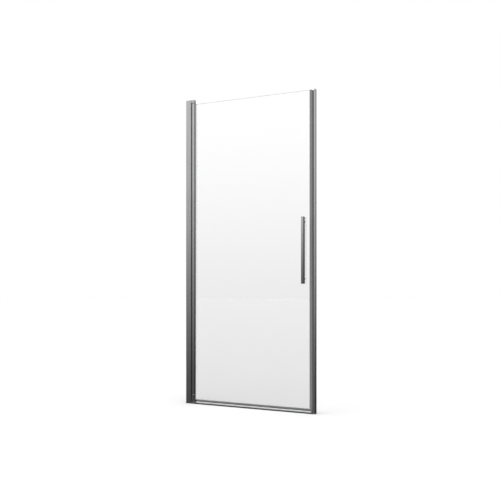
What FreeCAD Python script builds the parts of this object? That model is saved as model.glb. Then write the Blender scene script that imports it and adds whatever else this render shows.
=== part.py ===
import FreeCAD, Part
import math
import os

import Sketcher

# Pivot shower door for a 900 mm opening, 1950 mm high.
# Frame: X runs along the door from the hinge wall (-X) to the strike wall (+X), -Y is the side the door
# opens to, +Z is up. The origin is the middle of the sill's underside, below the middle of the glass.

doc = FreeCAD.newDocument("PivotShowerDoor")
sheet = doc.addObject("Spreadsheet::Sheet", "Sizes")


class Length:
    """A length in millimetres together with the sheet expression that gives it."""

    def __init__(self, text, value):
        self.text = text
        self.value = value

    def combine(self, other, sign, result):
        return Length("(%s %s %s)" % (self.text, sign, as_length(other).text), result)

    def __add__(self, other):
        return self.combine(other, "+", self.value + as_length(other).value)

    def __sub__(self, other):
        return self.combine(other, "-", self.value - as_length(other).value)

    def __mul__(self, other):
        return self.combine(other, "*", self.value * as_length(other).value)

    def __truediv__(self, other):
        return self.combine(other, "/", self.value / as_length(other).value)

    def __radd__(self, other):
        return as_length(other) + self

    def __rsub__(self, other):
        return as_length(other) - self

    def __rmul__(self, other):
        return as_length(other) * self

    def __neg__(self):
        return Length("(-%s)" % self.text, -self.value)


def as_length(number):
    """Plain numbers join in as they are."""
    if isinstance(number, Length):
        return number
    return Length(repr(float(number)), float(number))


class Sizes:
    """The driving dimensions in millimetres: one row of the sheet each, read back by name."""

    def __init__(self, values):
        for row, (alias, millimetres) in enumerate(values.items(), start=1):
            sheet.set("A%d" % row, alias)
            sheet.set("B%d" % row, str(millimetres))
            sheet.setAlias("B%d" % row, alias)

    def __getattr__(self, alias):
        return Length("Sizes." + alias, float(sheet.get(alias)))


# ---------------------------------------------------------------- driving dimensions

SIZES = {
    # wall profiles: a channel on the hinge side and an angle on the strike side
    "overall_width": 891,  # wall to wall width that the door fills
    "overall_height": 1950,  # height of the hinge side
    "frame_front": 24,  # middle of the glass to the front faces of the wall profiles
    "frame_back": 18,  # middle of the glass to the back face of the hinge channel
    "channel_wall": 2,  # wall thickness of both wall profiles
    "channel_round": 0.8,  # rounding of their outer corners
    "hinge_reach": 36,  # how far the hinge channel stands out from its wall
    "strike_reach": 6,  # how far the strike angle stands out from its wall
    "strike_back": 1,  # middle of the glass to the back edge of the strike angle
    "strike_drop": 26,  # top of the hinge side to the top of the strike side
    "wall_hole": 5.2,  # diameter of the wall screw holes
    "wall_hole_first": 150,  # height of the lowest wall hole
    "wall_hole_drop": 124,  # top of the strike side to the highest wall hole
    "wall_head_room": 11,  # diameter of the strike profile's openings for the wall screws' heads
    "slide_gap": 0.5,  # gap between a profile and its wall profile, each side
    # hinge post
    "post_wall_gap": 6,  # post to the web of the hinge channel
    "post_wall": 2,  # wall thickness of the post
    "nose_proud": 1,  # how far the front of the post stands out of the channel
    "groove_depth": 6,  # depth of the groove in front of the post's seal face
    "hinge_gap": 2.3,  # seal face of the post to the stile
    "port_wall": 10,  # solid thickness around the post's screw ports
    "port_hole": 3.8,  # diameter of the screw ports
    "port_inset": 6,  # screw ports from the post's back edge
    "front_cell": 6.3,  # width of the post's front cell
    # pivot stile
    "leaf_offset": 43.5,  # hinge wall to the stile
    "stile_width": 17,  # face width of the stile
    "stile_front": 22.5,  # middle of the glass to the stile's front face
    "stile_wall": 2,  # wall thickness of the stile
    "pivot_inset": 8.5,  # pivot axis inside the stile's front and hinge-side faces
    "corner_round": 4,  # stile corner that sweeps past the post
    "edge_round": 1,  # small rounding of the stile's other corners
    "slot_floor": 3.5,  # solid stile behind the glass slot
    "lip_inset": 4.3,  # rear lip of the glass slot set back from the stile's front edge
    "heel_inset": 12,  # rear face of the stile set back from the same edge, by a bevel
    "cap_screw_hole": 3,  # diameter of the stile's rear screw port
    "cap_screw_inset": 4.2,  # that port from the stile's hinge-side face
    # glass
    "glass_thick": 6,  # thickness of the glass
    "glass_top_drop": 24,  # top of the frame to the top of the glass
    "glass_bottom": 19,  # height of the glass's bottom edge
    "glass_strike_gap": 34,  # strike wall to the glass edge
    "glass_bevel": 0.8,  # bevel of the glass edges
    "notch_gap": 0.5,  # glass notch to the stile's bottom cap
    "gasket_thick": 2,  # glazing gasket beside the glass
    "gasket_floor": 1,  # glazing gasket behind the glass edge
    # pivots
    "pin_radius": 3.5,  # radius of the pivot pins
    "pin_reach": 15,  # length of pin inside a bush
    "pin_hold": 12,  # length of pin inside the top block
    "pin_hold_low": 24,  # length of pin inside the bottom block
    "pin_bevel": 0.6,  # bevel at the ends of the pins
    "bush_wall": 1.5,  # wall thickness of the bushes
    "bush_gap": 0.06,  # running clearance of a pin in its bush, on the radius
    "seat_gap": 0.02,  # clearance of a seated pin, bush or screw, on the radius
    "top_block_height": 18,  # height of the top pivot block
    "top_seam": 2,  # gap between the stile and the top block
    "bottom_block_top": 57,  # top of the bottom pivot block
    "block_round": 2,  # rounded front corner of the pivot blocks
    "groove_foot": 18,  # height of the bottom block's foot inside the groove
    "washer_thick": 1.45,  # thickness of the thrust washer
    "washer_radius": 6,  # outer radius of the thrust washer
    "thrust_gap": 0.05,  # gap between the thrust washer and the stile's cap
    "cap_plate": 2.5,  # plate thickness of the stile's end caps
    "cap_plug": 18,  # plug length of the stile's end caps
    "plug_gap": 0.15,  # clearance of a plug in its chamber, each side
    # screws: shank radius, head radius and head height
    "block_screw": 1.9,  # shank radius of the pivot block screws
    "block_screw_head": 3.6,  # head radius of the pivot block screws
    "block_screw_rise": 3.2,  # head height of the pivot block screws
    "block_screw_bite": 14,  # length of the block screws inside the post
    "cap_screw": 1.5,  # shank radius of the stile's cap screws
    "cap_screw_head": 2.7,  # head radius of the cap screws
    "cap_screw_rise": 1.6,  # head height of the cap screws
    "cap_screw_bite": 12,  # length of the cap screws inside the stile
    "fix_screw": 2,  # shank radius of the profile fixing screws
    "fix_screw_head": 4,  # head radius of the fixing screws
    "fix_screw_rise": 2.4,  # head height of the fixing screws
    "fix_screw_bite": 7,  # length of a fixing screw past the hinge channel's flange
    "fix_washer": 6,  # radius of the washers under the fixing screws
    "fix_washer_thick": 1,  # thickness of those washers
    "fix_first": 200,  # height of the lowest fixing screw
    "fix_drop": 179,  # top of the strike side to the highest fixing screw
    "slot_gap": 0.3,  # clearance of a fixing screw in its slot, on the radius
    "hex_share": 0.55,  # hexagon socket as a share of the head radius
    # telescoping range
    "hinge_in": 5,  # how far the frame slides towards the hinge wall
    "hinge_out": 8,  # how far the frame slides away from the hinge wall
    "hinge_fix_inset": 14,  # hinge fixing screws from the post's back edge
    # sill
    "sill_height": 8,  # height of the sill
    "sill_front": 26,  # middle of the glass to the sill's front
    "sill_back": 16,  # middle of the glass to the sill's back
    "sill_wall": 2,  # wall thickness of the sill
    "sill_rib": 6,  # width of the sill's middle rib
    "sill_round": 0.6,  # rounded top edges of the sill
    "sill_strike_gap": 9.5,  # strike wall to the end of the sill
    "sill_plate": 3,  # plate thickness of the sill's end pieces
    "sill_plug": 12,  # plug length of the sill's end pieces
    "sill_glue": 0.2,  # clearance of that plug, each side
    # bottom rail and its seal
    "rail_bottom": 12,  # height of the rail's underside
    "rail_height": 15,  # height of the bottom rail
    "rail_width": 13,  # width of the bottom rail
    "rail_wall": 1.8,  # wall thickness of the bottom rail
    "rail_web": 1.5,  # web between the rail's two slots, also under the glass gasket
    "rail_lip": 1.4,  # thickness of the lips that hold the seal
    "rail_mouth": 6,  # opening between those lips
    "rail_round": 0.6,  # rounding of the rail's top edges
    "rail_gap": 1.7,  # rail cap to the bottom pivot block
    "rail_cap": 1.5,  # thickness of the rail's hinge-side cap
    "rail_plug": 8,  # plug length of the rail's caps
    "rail_gasket_top": 2,  # glass gasket below the rail's top edge
    "seal_gap": 0.4,  # gap between the bottom seal and the sill
    "seal_fin": 1,  # thickness of the seal's fins and base
    "seal_fin_inset": 1,  # fins from the rail's faces
    # closing strips
    "strip_leg": 1.6,  # leg thickness of the strip on the glass edge
    "strip_grip": 8.4,  # how far that strip grips the glass
    "strip_head": 8,  # front width of that strip past the glass edge
    "strip_flank": 1.8,  # back width of that strip past the glass edge
    "strip_meet": 0.6,  # gap between the two strips' slanted faces
    "strip_rest": 0.3,  # gap between the strip and the bottom rail
    "fixed_back": 6.2,  # back face of the fixed strip behind the middle of the glass
    "root_head": 1.4,  # thickness of the fixed strip's root
    "root_neck": 3,  # width of the root's neck
    "root_wing": 1,  # how far the root's head is wider than its neck, each side
    "root_low": 0.2,  # start of the neck behind the middle of the glass
    "root_gap": 0.2,  # clearance of the root in its slot
    "magnet_width": 3.2,  # width of the magnet bars
    "magnet_thick": 1.6,  # thickness of the magnet bars
    "magnet_skin": 0.8,  # strip material over a magnet
    "magnet_shift": 1,  # magnets towards the back of the slanted face
    "magnet_gap": 0.05,  # clearance around a magnet bar
    # strike profile
    "tongue_thick": 3,  # thickness of the tongue that is screwed to the strike angle
    "nose_wall_gap": 6.5,  # strike wall to the nose that carries the fixed strip
    "nose_width": 9,  # width of that nose
    "nose_front": 3,  # front face of that nose before the middle of the glass
    "strike_wall": 1.8,  # wall thickness of the strike profile
    "strike_cap": 2.5,  # plate thickness of the strike profile's cap
    "strike_cap_plug": 10,  # plug length of that cap
    # hinge lip seal
    "lip_gap": 0.3,  # seal lip to the stile
    "lip_middle": 6,  # middle of the lip seal behind the middle of the glass
    "lip_slot": 2,  # width of the lip seal's slot
    "lip_root": 4,  # width of the lip seal's root
    "lip_root_thick": 1.5,  # thickness of the lip seal's root
    "lip_bulb": 2.8,  # width of the lip seal's bulb
    "lip_round": 0.84,  # rounding of that bulb
    # handle
    "handle_length": 400,  # length of the handle
    "handle_middle": 971,  # height of the handle's middle
    "handle_width": 14,  # face width of the handle
    "handle_depth": 30,  # front of the handle to the glass
    "handle_strike_gap": 79.4,  # strike wall to the handle's middle
    "handle_wall": 2,  # wall thickness of the handle's hollow
    "handle_heel": 10,  # solid heel of the handle that takes the screws
    "handle_round": 1.2,  # rounded edges of the handle
    "handle_cap": 2,  # plate thickness of the handle's caps
    "handle_plug": 8,  # plug length of the handle's caps
    "handle_pad": 1,  # thickness of the pad between handle and glass
    "handle_pad_inset": 1,  # pad inside the handle's outline
    "handle_pitch": 340,  # height between the handle's screws
    "handle_screw": 2,  # shank radius of the handle screws
    "handle_screw_head": 3.6,  # head radius of the handle screws
    "handle_screw_rise": 1.8,  # head height of the handle screws
    "handle_screw_bite": 8.6,  # length of the handle screws inside the heel
    "glass_hole": 8,  # diameter of the holes in the glass
    "sleeve_wall": 1.7,  # wall thickness of the sleeves in those holes
    "disc_radius": 6.5,  # radius of the inner discs
    "disc_thick": 3.2,  # thickness of the inner discs
    "disc_floor": 1.2,  # inner disc under the screw head
    "disc_round": 0.8,  # rounded edge of the inner discs
    "head_gap": 0.25,  # clearance around a screw head, on the radius
}

size = Sizes(SIZES)
doc.recompute()

# ---------------------------------------------------------------- places worked out from them

hinge_wall = -size.overall_width / 2
strike_wall = size.overall_width / 2
web_face = hinge_wall + size.channel_wall
channel_middle = (size.frame_back - size.frame_front) / 2
profile_front = size.channel_wall + size.slide_gap - size.frame_front
profile_back = size.frame_back - size.channel_wall - size.slide_gap
strike_height = size.overall_height - size.strike_drop

channel_end = hinge_wall + size.hinge_reach
stile_left = hinge_wall + size.leaf_offset
stile_right = stile_left + size.stile_width
pivot_x = stile_left + size.pivot_inset
pivot_y = size.pivot_inset - size.stile_front
post_left = web_face + size.post_wall_gap
nose_face = channel_end + size.nose_proud
seal_face = stile_left - size.hinge_gap
groove_floor = profile_front + size.groove_depth
stile_front = -size.stile_front
stile_back = profile_back
stile_lip = stile_right - size.lip_inset
stile_heel = stile_right - size.heel_inset

block_bottom = size.overall_height - size.top_block_height
stile_top = block_bottom - size.top_seam
stile_bottom = size.bottom_block_top + size.washer_thick + size.thrust_gap
stile_low = stile_bottom + size.cap_plate
stile_high = stile_top - size.cap_plate
stile_length = stile_high - stile_low

glass_half = size.glass_thick / 2
slot_half = glass_half + size.gasket_thick
slot_left = stile_left + size.slot_floor
glass_left = slot_left + size.gasket_floor
glass_right = strike_wall - size.glass_strike_gap
glass_top = size.overall_height - size.glass_top_drop
notch_top = stile_low + size.notch_gap

rail_top = size.rail_bottom + size.rail_height
rail_half = size.rail_width / 2
rail_start = stile_right + size.rail_gap
rail_left = rail_start + size.rail_cap
rail_inner = rail_half - size.rail_wall
gasket_base = size.glass_bottom - size.rail_web
seal_slot_top = gasket_base - size.rail_web
seal_slot_low = size.rail_bottom + size.rail_lip

strike_end = strike_wall - size.strike_reach
strike_web = strike_wall - size.channel_wall
tongue_right = strike_web - size.slide_gap
tongue_left = tongue_right - size.tongue_thick
nose_right = strike_wall - size.nose_wall_gap
nose_left = nose_right - size.nose_width
nose_front = -size.nose_front
tongue_middle = (profile_front + nose_front) / 2
strike_top = strike_height - size.strike_cap

handle_x = strike_wall - size.handle_strike_gap
handle_back = -(glass_half + size.handle_pad)
handle_front = -(glass_half + size.handle_depth)
heel_front = handle_back - size.handle_heel
handle_low = size.handle_middle - size.handle_length / 2
disc_base = glass_half + size.handle_pad


# ---------------------------------------------------------------- sketch helpers

DIAGONAL = math.sqrt(0.5)
ORIGIN = -1
SLOT_ROUNDING = 0.9  # rounding of a slot's ends, as a share of half its width
PAST = 0.5  # how far a cut through a wall starts and ends outside it, as a share of the wall


def bind(target, name, length):
    """Ties a property or a constraint to the sheet."""
    target.setExpression(name, as_length(length).text)


class Drawing:
    """Collects outlines for one sketch, then adds them with every size tied to the sheet."""

    def __init__(self):
        self.geometry = []
        self.constraints = []
        self.formulas = []

    def fix(self, kind, places, length):
        length = as_length(length)
        self.formulas.append((len(self.constraints), length.text))
        self.constraints.append(Sketcher.Constraint(kind, *places, length.value))

    def pin(self, item, end, point):
        """Holds one end of an item at a point measured from the origin."""
        self.fix("DistanceX", (ORIGIN, 1, item, end), point[0])
        self.fix("DistanceY", (ORIGIN, 1, item, end), point[1])

    def join(self, item, end, other, other_end):
        self.constraints.append(Sketcher.Constraint("Coincident", item, end, other, other_end))

    def line(self, start, end):
        first = FreeCAD.Vector(start[0].value, start[1].value, 0)
        last = FreeCAD.Vector(end[0].value, end[1].value, 0)
        self.geometry.append(Part.LineSegment(first, last))
        return len(self.geometry) - 1

    def circle(self, u, v, radius):
        u, v, radius = as_length(u), as_length(v), as_length(radius)
        centre = FreeCAD.Vector(u.value, v.value, 0)
        self.geometry.append(Part.Circle(centre, FreeCAD.Vector(0, 0, 1), radius.value))
        item = len(self.geometry) - 1
        self.pin(item, 3, (u, v))
        self.fix("Radius", (item,), radius)

    def polygon(self, corners):
        """Straight sides between corners; a corner with a third value is rounded to that radius."""
        ends = [corner_ends(corners, index) for index in range(len(corners))]
        lines = []
        for index, (arrive, leave, radius) in enumerate(ends):
            following = ends[(index + 1) % len(ends)][0]
            lines.append(self.line(leave, following))
        for index, (arrive, leave, radius) in enumerate(ends):
            before, after = lines[index - 1], lines[index]
            if radius is None:
                self.join(before, 2, after, 1)
                self.pin(after, 1, leave)
            else:
                self.pin(before, 2, arrive)
                self.pin(after, 1, leave)
                self.round_corner(before, after, corners[index], arrive, leave, radius)

    def round_corner(self, before, after, corner, arrive, leave, radius):
        """A quarter arc between two sides that meet at a right angle."""
        u, v = as_length(corner[0]).value, as_length(corner[1]).value
        centre = FreeCAD.Vector(arrive[0].value + leave[0].value - u, arrive[1].value + leave[1].value - v, 0)
        towards = (u - arrive[0].value, v - arrive[1].value)
        away = (leave[0].value - u, leave[1].value - v)
        left_turn = towards[0] * away[1] - towards[1] * away[0] > 0
        first, last = (arrive, leave) if left_turn else (leave, arrive)
        start = math.atan2(first[1].value - centre.y, first[0].value - centre.x)
        end = start + math.pi / 2
        circle = Part.Circle(centre, FreeCAD.Vector(0, 0, 1), radius.value)
        self.geometry.append(Part.ArcOfCircle(circle, start, end))
        arc = len(self.geometry) - 1
        self.join(before, 2, arc, 1 if left_turn else 2)
        self.join(after, 1, arc, 2 if left_turn else 1)
        self.fix("Radius", (arc,), radius)

    def add_to(self, sketch):
        sketch.addGeometry(self.geometry, False)
        sketch.addConstraint(self.constraints)
        for index, formula in self.formulas:
            sketch.setExpression("Constraints[%d]" % index, formula)


def corner_ends(corners, index):
    """Where the sides stop before and start after a corner."""
    corner = corners[index]
    u, v = as_length(corner[0]), as_length(corner[1])
    if len(corner) == 2:
        return (u, v), (u, v), None
    radius = as_length(corner[2])
    before = corners[index - 1]
    after = corners[(index + 1) % len(corners)]
    arrive = step_towards(u, v, before, radius)
    leave = step_towards(u, v, after, radius)
    return arrive, leave, radius


def step_towards(u, v, neighbour, radius):
    """A point one radius along the side that runs to the neighbour, along an axis."""
    over = as_length(neighbour[0]).value - u.value
    up = as_length(neighbour[1]).value - v.value
    if abs(over) > abs(up):
        return (u + radius * math.copysign(1, over), v)
    return (u, v + radius * math.copysign(1, up))


def box(left, low, right, high, *rounds):
    """Corners of a rectangle from the lower left round to the upper left, with up to four radii."""
    corners = [[left, low], [right, low], [right, high], [left, high]]
    for corner, radius in zip(corners, rounds):
        if radius is not None:
            corner.append(radius)
    return [tuple(corner) for corner in corners]


def plug_box(left, low, right, high, *rounds):
    """A rectangle with the plug clearance taken off on every side."""
    clear = size.plug_gap
    return box(left + clear, low + clear, right - clear, high - clear, *rounds)


def draw(outlines):
    drawing = Drawing()
    for outline in outlines:
        if isinstance(outline, list):
            drawing.polygon(outline)
        else:
            drawing.circle(*outline)
    return drawing


# ---------------------------------------------------------------- feature helpers

pieces = {}


def new_piece(name, kind, x=0, y=0, z=0):
    """A sub-part, labelled with its node name and placed by the sheet."""
    piece = doc.addObject(kind, name)
    piece.Label = name
    for axis, length in zip("xyz", (x, y, z)):
        if isinstance(length, Length):
            bind(piece, "Placement.Base." + axis, length)
    pieces[name] = piece
    return piece


def sketch_on(body, plane, outlines, offset=None):
    """A sketch on one of the body's own planes, moved along the plane's normal by offset."""
    sketch = body.newObject("Sketcher::SketchObject", body.Name + "_sketch")
    support = [item for item in body.Origin.OriginFeatures if item.Role == plane][0]
    sketch.AttachmentSupport = [(support, "")]
    sketch.MapMode = "FlatFace"
    draw(outlines).add_to(sketch)
    if offset is not None:
        bind(sketch, "AttachmentOffset.Base.z", offset)
    return sketch


def pad(body, plane, outlines, length, offset=None, reverse=False):
    feature_sketch = sketch_on(body, plane, outlines, offset)
    feature = body.newObject("PartDesign::Pad", body.Name + "_pad")
    feature.Profile = feature_sketch
    feature.Reversed = reverse
    bind(feature, "Length", length)
    feature_sketch.Visibility = False
    doc.recompute()
    return feature


def pocket(body, plane, outlines, length, offset=None, reverse=False):
    """A cut from the plane, checked to have taken material away."""
    before = body.Shape.Volume
    feature_sketch = sketch_on(body, plane, outlines, offset)
    feature = body.newObject("PartDesign::Pocket", body.Name + "_pocket")
    feature.Profile = feature_sketch
    feature.Reversed = reverse
    bind(feature, "Length", length)
    feature_sketch.Visibility = False
    doc.recompute()
    if body.Shape.Volume >= before:
        raise RuntimeError(body.Name + ": a pocket cuts nothing")
    return feature


def turn_about_z(body, outline):
    """A full turn of an outline that is drawn in X and Z, about the body's own Z axis."""
    profile = sketch_on(body, "XZ_Plane", [outline])
    turned = body.newObject("PartDesign::Revolution", body.Name + "_turned")
    turned.Profile = profile
    turned.ReferenceAxis = (profile, ["V_Axis"])
    turned.Angle = 360
    profile.Visibility = False
    doc.recompute()


def extrusion(name, outlines, low, length):
    """An upright bar: its section lies flat and runs up from the height low."""
    body = new_piece(name, "PartDesign::Body", z=low)
    pad(body, "XY_Plane", outlines, length)
    return body


def bar_along(name, outlines, left, length):
    """A bar along the door: its section is drawn in Y and Z and runs from left towards the strike wall."""
    body = new_piece(name, "PartDesign::Body", x=left)
    pad(body, "YZ_Plane", outlines, length)
    return body


def screw(name, radius, head_radius, head_height, length):
    """A socket head screw along +Z: its head stands on the plane z = 0 and its shank hangs below."""
    shank = doc.addObject("Part::Cylinder", name + "_shank")
    bind(shank, "Radius", radius)
    bind(shank, "Height", length)
    bind(shank, "Placement.Base.z", -length)
    head = doc.addObject("Part::Cylinder", name + "_head")
    bind(head, "Radius", head_radius)
    bind(head, "Height", head_height)
    body = doc.addObject("Part::Fuse", name + "_blank")
    body.Base = head
    body.Tool = shank
    socket = doc.addObject("Part::Prism", name + "_socket")
    socket.Polygon = 6
    bind(socket, "Circumradius", head_radius * size.hex_share)
    bind(socket, "Height", head_height)
    bind(socket, "Placement.Base.z", head_height / 2)
    cut = doc.addObject("Part::Cut", name)
    cut.Base = body
    cut.Tool = socket
    return cut


def ring(name, outer, inner, thick):
    """A washer along +Z, standing on the plane z = 0."""
    disc = doc.addObject("Part::Cylinder", name + "_disc")
    bind(disc, "Radius", outer)
    bind(disc, "Height", thick)
    bore = doc.addObject("Part::Cylinder", name + "_bore")
    bind(bore, "Radius", inner)
    bind(bore, "Height", thick)
    cut = doc.addObject("Part::Cut", name)
    cut.Base = disc
    cut.Tool = bore
    return cut


UP = FreeCAD.Rotation()
DOWN = FreeCAD.Rotation(FreeCAD.Vector(1, 0, 0), 180)
BACKWARDS = FreeCAD.Rotation(FreeCAD.Vector(1, 0, 0), -90)
FROM_STRIKE = FreeCAD.Rotation(FreeCAD.Vector(0, 1, 0), -90)


def place(item, x, y, z, turn):
    item.Placement = FreeCAD.Placement(FreeCAD.Vector(0, 0, 0), turn)
    bind(item, "Placement.Base.x", x)
    bind(item, "Placement.Base.y", y)
    bind(item, "Placement.Base.z", z)
    return item


def group(name, items):
    """Identical fasteners share one node, each a separate solid."""
    piece = new_piece(name, "Part::Compound")
    piece.Links = items
    return piece


# ---------------------------------------------------------------- wall profiles

FIXINGS = 4


def spaced(first, last):
    """Heights of the screws or holes of one profile, evenly spaced."""
    return [first + (last - first) * index / (FIXINGS - 1) for index in range(FIXINGS)]


fix_heights = spaced(size.fix_first, strike_height - size.fix_drop)
wall_hole_heights = spaced(size.wall_hole_first, strike_height - size.wall_hole_drop)
hole_radius = size.wall_hole / 2
slot_radius = size.fix_screw + size.slot_gap
fix_radius = size.fix_screw + size.seat_gap
flange_front = -size.frame_front
flange_inner = flange_front + size.channel_wall
flange_back = size.frame_back - size.channel_wall


def cut_slots(body, left, right):
    """Slots through the back flange, in which the fixing screws travel."""
    for middle in fix_heights:
        outline = box(left, middle - slot_radius, right, middle + slot_radius,
                      *[slot_radius * SLOT_ROUNDING] * 4)
        pocket(body, "XZ_Plane", [outline], size.channel_wall * (1 + PAST * 2),
               offset=-(size.frame_back - size.channel_wall * (1 + PAST)))


def drill(body, left, thick, circles):
    """Round holes along X through a wall that starts at left."""
    pocket(body, "YZ_Plane", circles, thick * (1 + PAST * 2), offset=left - thick * PAST, reverse=True)


hinge_channel_outline = [
    (hinge_wall, flange_front, size.channel_round), (channel_end, flange_front), (channel_end, flange_inner),
    (web_face, flange_inner), (web_face, flange_back), (channel_end, flange_back),
    (channel_end, size.frame_back), (hinge_wall, size.frame_back, size.channel_round)]
hinge_channel = extrusion("hinge_wall_channel", [hinge_channel_outline], as_length(0), size.overall_height)
drill(hinge_channel, hinge_wall, size.channel_wall,
      [(channel_middle, middle, hole_radius) for middle in wall_hole_heights])
hinge_fix_x = post_left + size.hinge_fix_inset
cut_slots(hinge_channel, hinge_fix_x - size.hinge_in - slot_radius,
          hinge_fix_x + size.hinge_out + slot_radius)

strike_angle_outline = [
    (strike_end, flange_front), (strike_wall, flange_front, size.channel_round),
    (strike_wall, size.strike_back), (strike_web, size.strike_back), (strike_web, flange_inner),
    (strike_end, flange_inner)]
strike_angle = extrusion("strike_wall_angle", [strike_angle_outline], as_length(0), strike_height)
drill(strike_angle, strike_web, size.channel_wall,
      [(tongue_middle, middle, hole_radius) for middle in wall_hole_heights]
      + [(tongue_middle, middle, fix_radius) for middle in fix_heights])

# ---------------------------------------------------------------- hinge post and its lip seal

port_x = post_left + size.port_inset
port_front = profile_front + size.port_wall / 2
port_back = profile_back - size.port_wall / 2
port_places = [(port_x, port_front), (port_x, port_back)]

post_wall = size.post_wall
front_cell_left = nose_face - post_wall - size.front_cell
seal_wall = seal_face - post_wall
seal_slot_front = size.lip_middle - size.lip_slot / 2
seal_slot_back = size.lip_middle + size.lip_slot / 2

post_outline = [
    (post_left, profile_front), (nose_face, profile_front),
    (nose_face, groove_floor), (seal_face, groove_floor),
    (seal_face, seal_slot_front), (seal_wall, seal_slot_front), (seal_wall, groove_floor + post_wall),
    (front_cell_left, groove_floor + post_wall), (front_cell_left, profile_back - post_wall),
    (seal_wall, profile_back - post_wall), (seal_wall, seal_slot_back), (seal_face, seal_slot_back),
    (seal_face, profile_back), (post_left, profile_back)]
rear_cell = box(post_left + post_wall, profile_front + size.port_wall,
                front_cell_left - post_wall, profile_back - size.port_wall)
front_cell = box(front_cell_left, profile_front + post_wall, nose_face - post_wall, groove_floor)
port_circles = [(x, y, size.port_hole / 2) for x, y in port_places]

post_height = block_bottom - size.sill_height
hinge_post = extrusion("hinge_post", [post_outline, rear_cell, front_cell] + port_circles,
                       size.sill_height, post_height)
hinge_bores = [(hinge_fix_x, middle - size.sill_height, fix_radius) for middle in fix_heights]
pocket(hinge_post, "XZ_Plane", hinge_bores, size.fix_screw_bite, offset=-(profile_back - size.fix_screw_bite))

lip_tip = stile_left - size.lip_gap
lip_root_face = seal_wall - size.root_gap
lip_front = size.lip_middle - size.lip_bulb / 2
lip_back = size.lip_middle + size.lip_bulb / 2
lip_neck = size.lip_slot / 2 - size.root_gap
lip_outline = [
    (lip_root_face - size.lip_root_thick, size.lip_middle - size.lip_root / 2),
    (lip_root_face, size.lip_middle - size.lip_root / 2), (lip_root_face, size.lip_middle - lip_neck),
    (seal_face, size.lip_middle - lip_neck), (seal_face, lip_front),
    (lip_tip, lip_front, size.lip_round), (lip_tip, lip_back, size.lip_round),
    (seal_face, lip_back), (seal_face, size.lip_middle + lip_neck),
    (lip_root_face, size.lip_middle + lip_neck), (lip_root_face, size.lip_middle + size.lip_root / 2),
    (lip_root_face - size.lip_root_thick, size.lip_middle + size.lip_root / 2)]
lip_low = size.bottom_block_top
extrusion("hinge_lip_seal", [lip_outline], lip_low, block_bottom - lip_low)

# ---------------------------------------------------------------- pivot blocks, pins and washers

screw_clear = size.block_screw + size.seat_gap
head_clear = size.block_screw_head + size.head_gap


def block_holes(body, thick, seat_top):
    """Screw holes through a block, and the sunk seats of the heads."""
    clear = [(x, y, screw_clear) for x, y in port_places]
    seats = [(x, y, head_clear) for x, y in port_places]
    pocket(body, "XY_Plane", clear, thick, offset=thick)
    pocket(body, "XY_Plane", seats, size.block_screw_rise, offset=seat_top)


top_block = new_piece("top_pivot_block", "PartDesign::Body", z=block_bottom)
top_block_outline = [
    (post_left, profile_front), (seal_face, profile_front), (seal_face, stile_front),
    (stile_right, stile_front, size.block_round), (stile_right, -size.glass_thick / 2),
    (stile_heel, stile_back), (post_left, stile_back)]
pad(top_block, "XY_Plane", [top_block_outline], size.top_block_height)
block_holes(top_block, size.top_block_height, size.top_block_height)
pin_seat = (pivot_x, pivot_y, size.pin_radius + size.seat_gap)
pocket(top_block, "XY_Plane", [pin_seat], size.pin_hold, offset=size.pin_hold)

bottom_block = new_piece("bottom_pivot_block", "PartDesign::Body")
foot_outline = [
    (post_left, profile_front), (seal_face, profile_front), (seal_face, groove_floor),
    (nose_face, groove_floor), (nose_face, profile_back), (post_left, profile_back)]
step_outline = box(nose_face, profile_front, seal_face, groove_floor)
arm_outline = [
    (seal_face, stile_front, size.block_round), (stile_right, stile_front, size.block_round),
    (stile_right, -size.glass_thick / 2), (stile_heel, stile_back), (seal_face, stile_back)]
pad(bottom_block, "XY_Plane", [foot_outline], size.sill_height)
pad(bottom_block, "XY_Plane", [step_outline], size.groove_foot)
arm_height = size.bottom_block_top - size.sill_height
pad(bottom_block, "XY_Plane", [arm_outline], arm_height, offset=size.sill_height)
block_holes(bottom_block, size.sill_height, size.block_screw_rise)
pocket(bottom_block, "XY_Plane", [pin_seat], size.pin_hold_low, offset=size.bottom_block_top)


def pivot_pin(name, low, length):
    """A turned pin with bevelled ends on the pivot axis."""
    body = new_piece(name, "PartDesign::Body", pivot_x, pivot_y, low)
    radius, bevel = size.pin_radius, size.pin_bevel
    turn_about_z(body, [
        (0, 0), (radius - bevel, 0), (radius, bevel),
        (radius, length - bevel), (radius - bevel, length), (0, length)])


def bush(name, low):
    outer = size.pin_radius + size.bush_gap + size.bush_wall
    circles = [(pivot_x, pivot_y, outer), (pivot_x, pivot_y, size.pin_radius + size.bush_gap)]
    return extrusion(name, circles, low, size.pin_reach)


low_pin_start = size.bottom_block_top - size.pin_hold_low
low_pin_end = stile_bottom + size.pin_reach
pivot_pin("bottom_pivot_pin", low_pin_start, low_pin_end - low_pin_start)
high_pin_start = stile_top - size.pin_reach
high_pin_end = block_bottom + size.pin_hold
pivot_pin("top_pivot_pin", high_pin_start, high_pin_end - high_pin_start)
bush("bottom_pivot_bush", stile_bottom)
bush("top_pivot_bush", stile_top - size.pin_reach)
washer_circles = [(pivot_x, pivot_y, size.washer_radius), (pivot_x, pivot_y, size.pin_radius + size.head_gap)]
extrusion("thrust_washer", washer_circles, size.bottom_block_top, size.washer_thick)

block_screw_sizes = (size.block_screw, size.block_screw_head, size.block_screw_rise)
top_grip = size.top_block_height - size.block_screw_rise + size.block_screw_bite
group("top_block_screws", [
    place(screw("top_block_screw_%d" % index, *block_screw_sizes, top_grip),
          x, y, size.overall_height - size.block_screw_rise, UP)
    for index, (x, y) in enumerate(port_places)])
bottom_grip = size.sill_height - size.block_screw_rise + size.block_screw_bite
group("bottom_block_screws", [
    place(screw("bottom_block_screw_%d" % index, *block_screw_sizes, bottom_grip),
          x, y, size.block_screw_rise, DOWN)
    for index, (x, y) in enumerate(port_places)])

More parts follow.
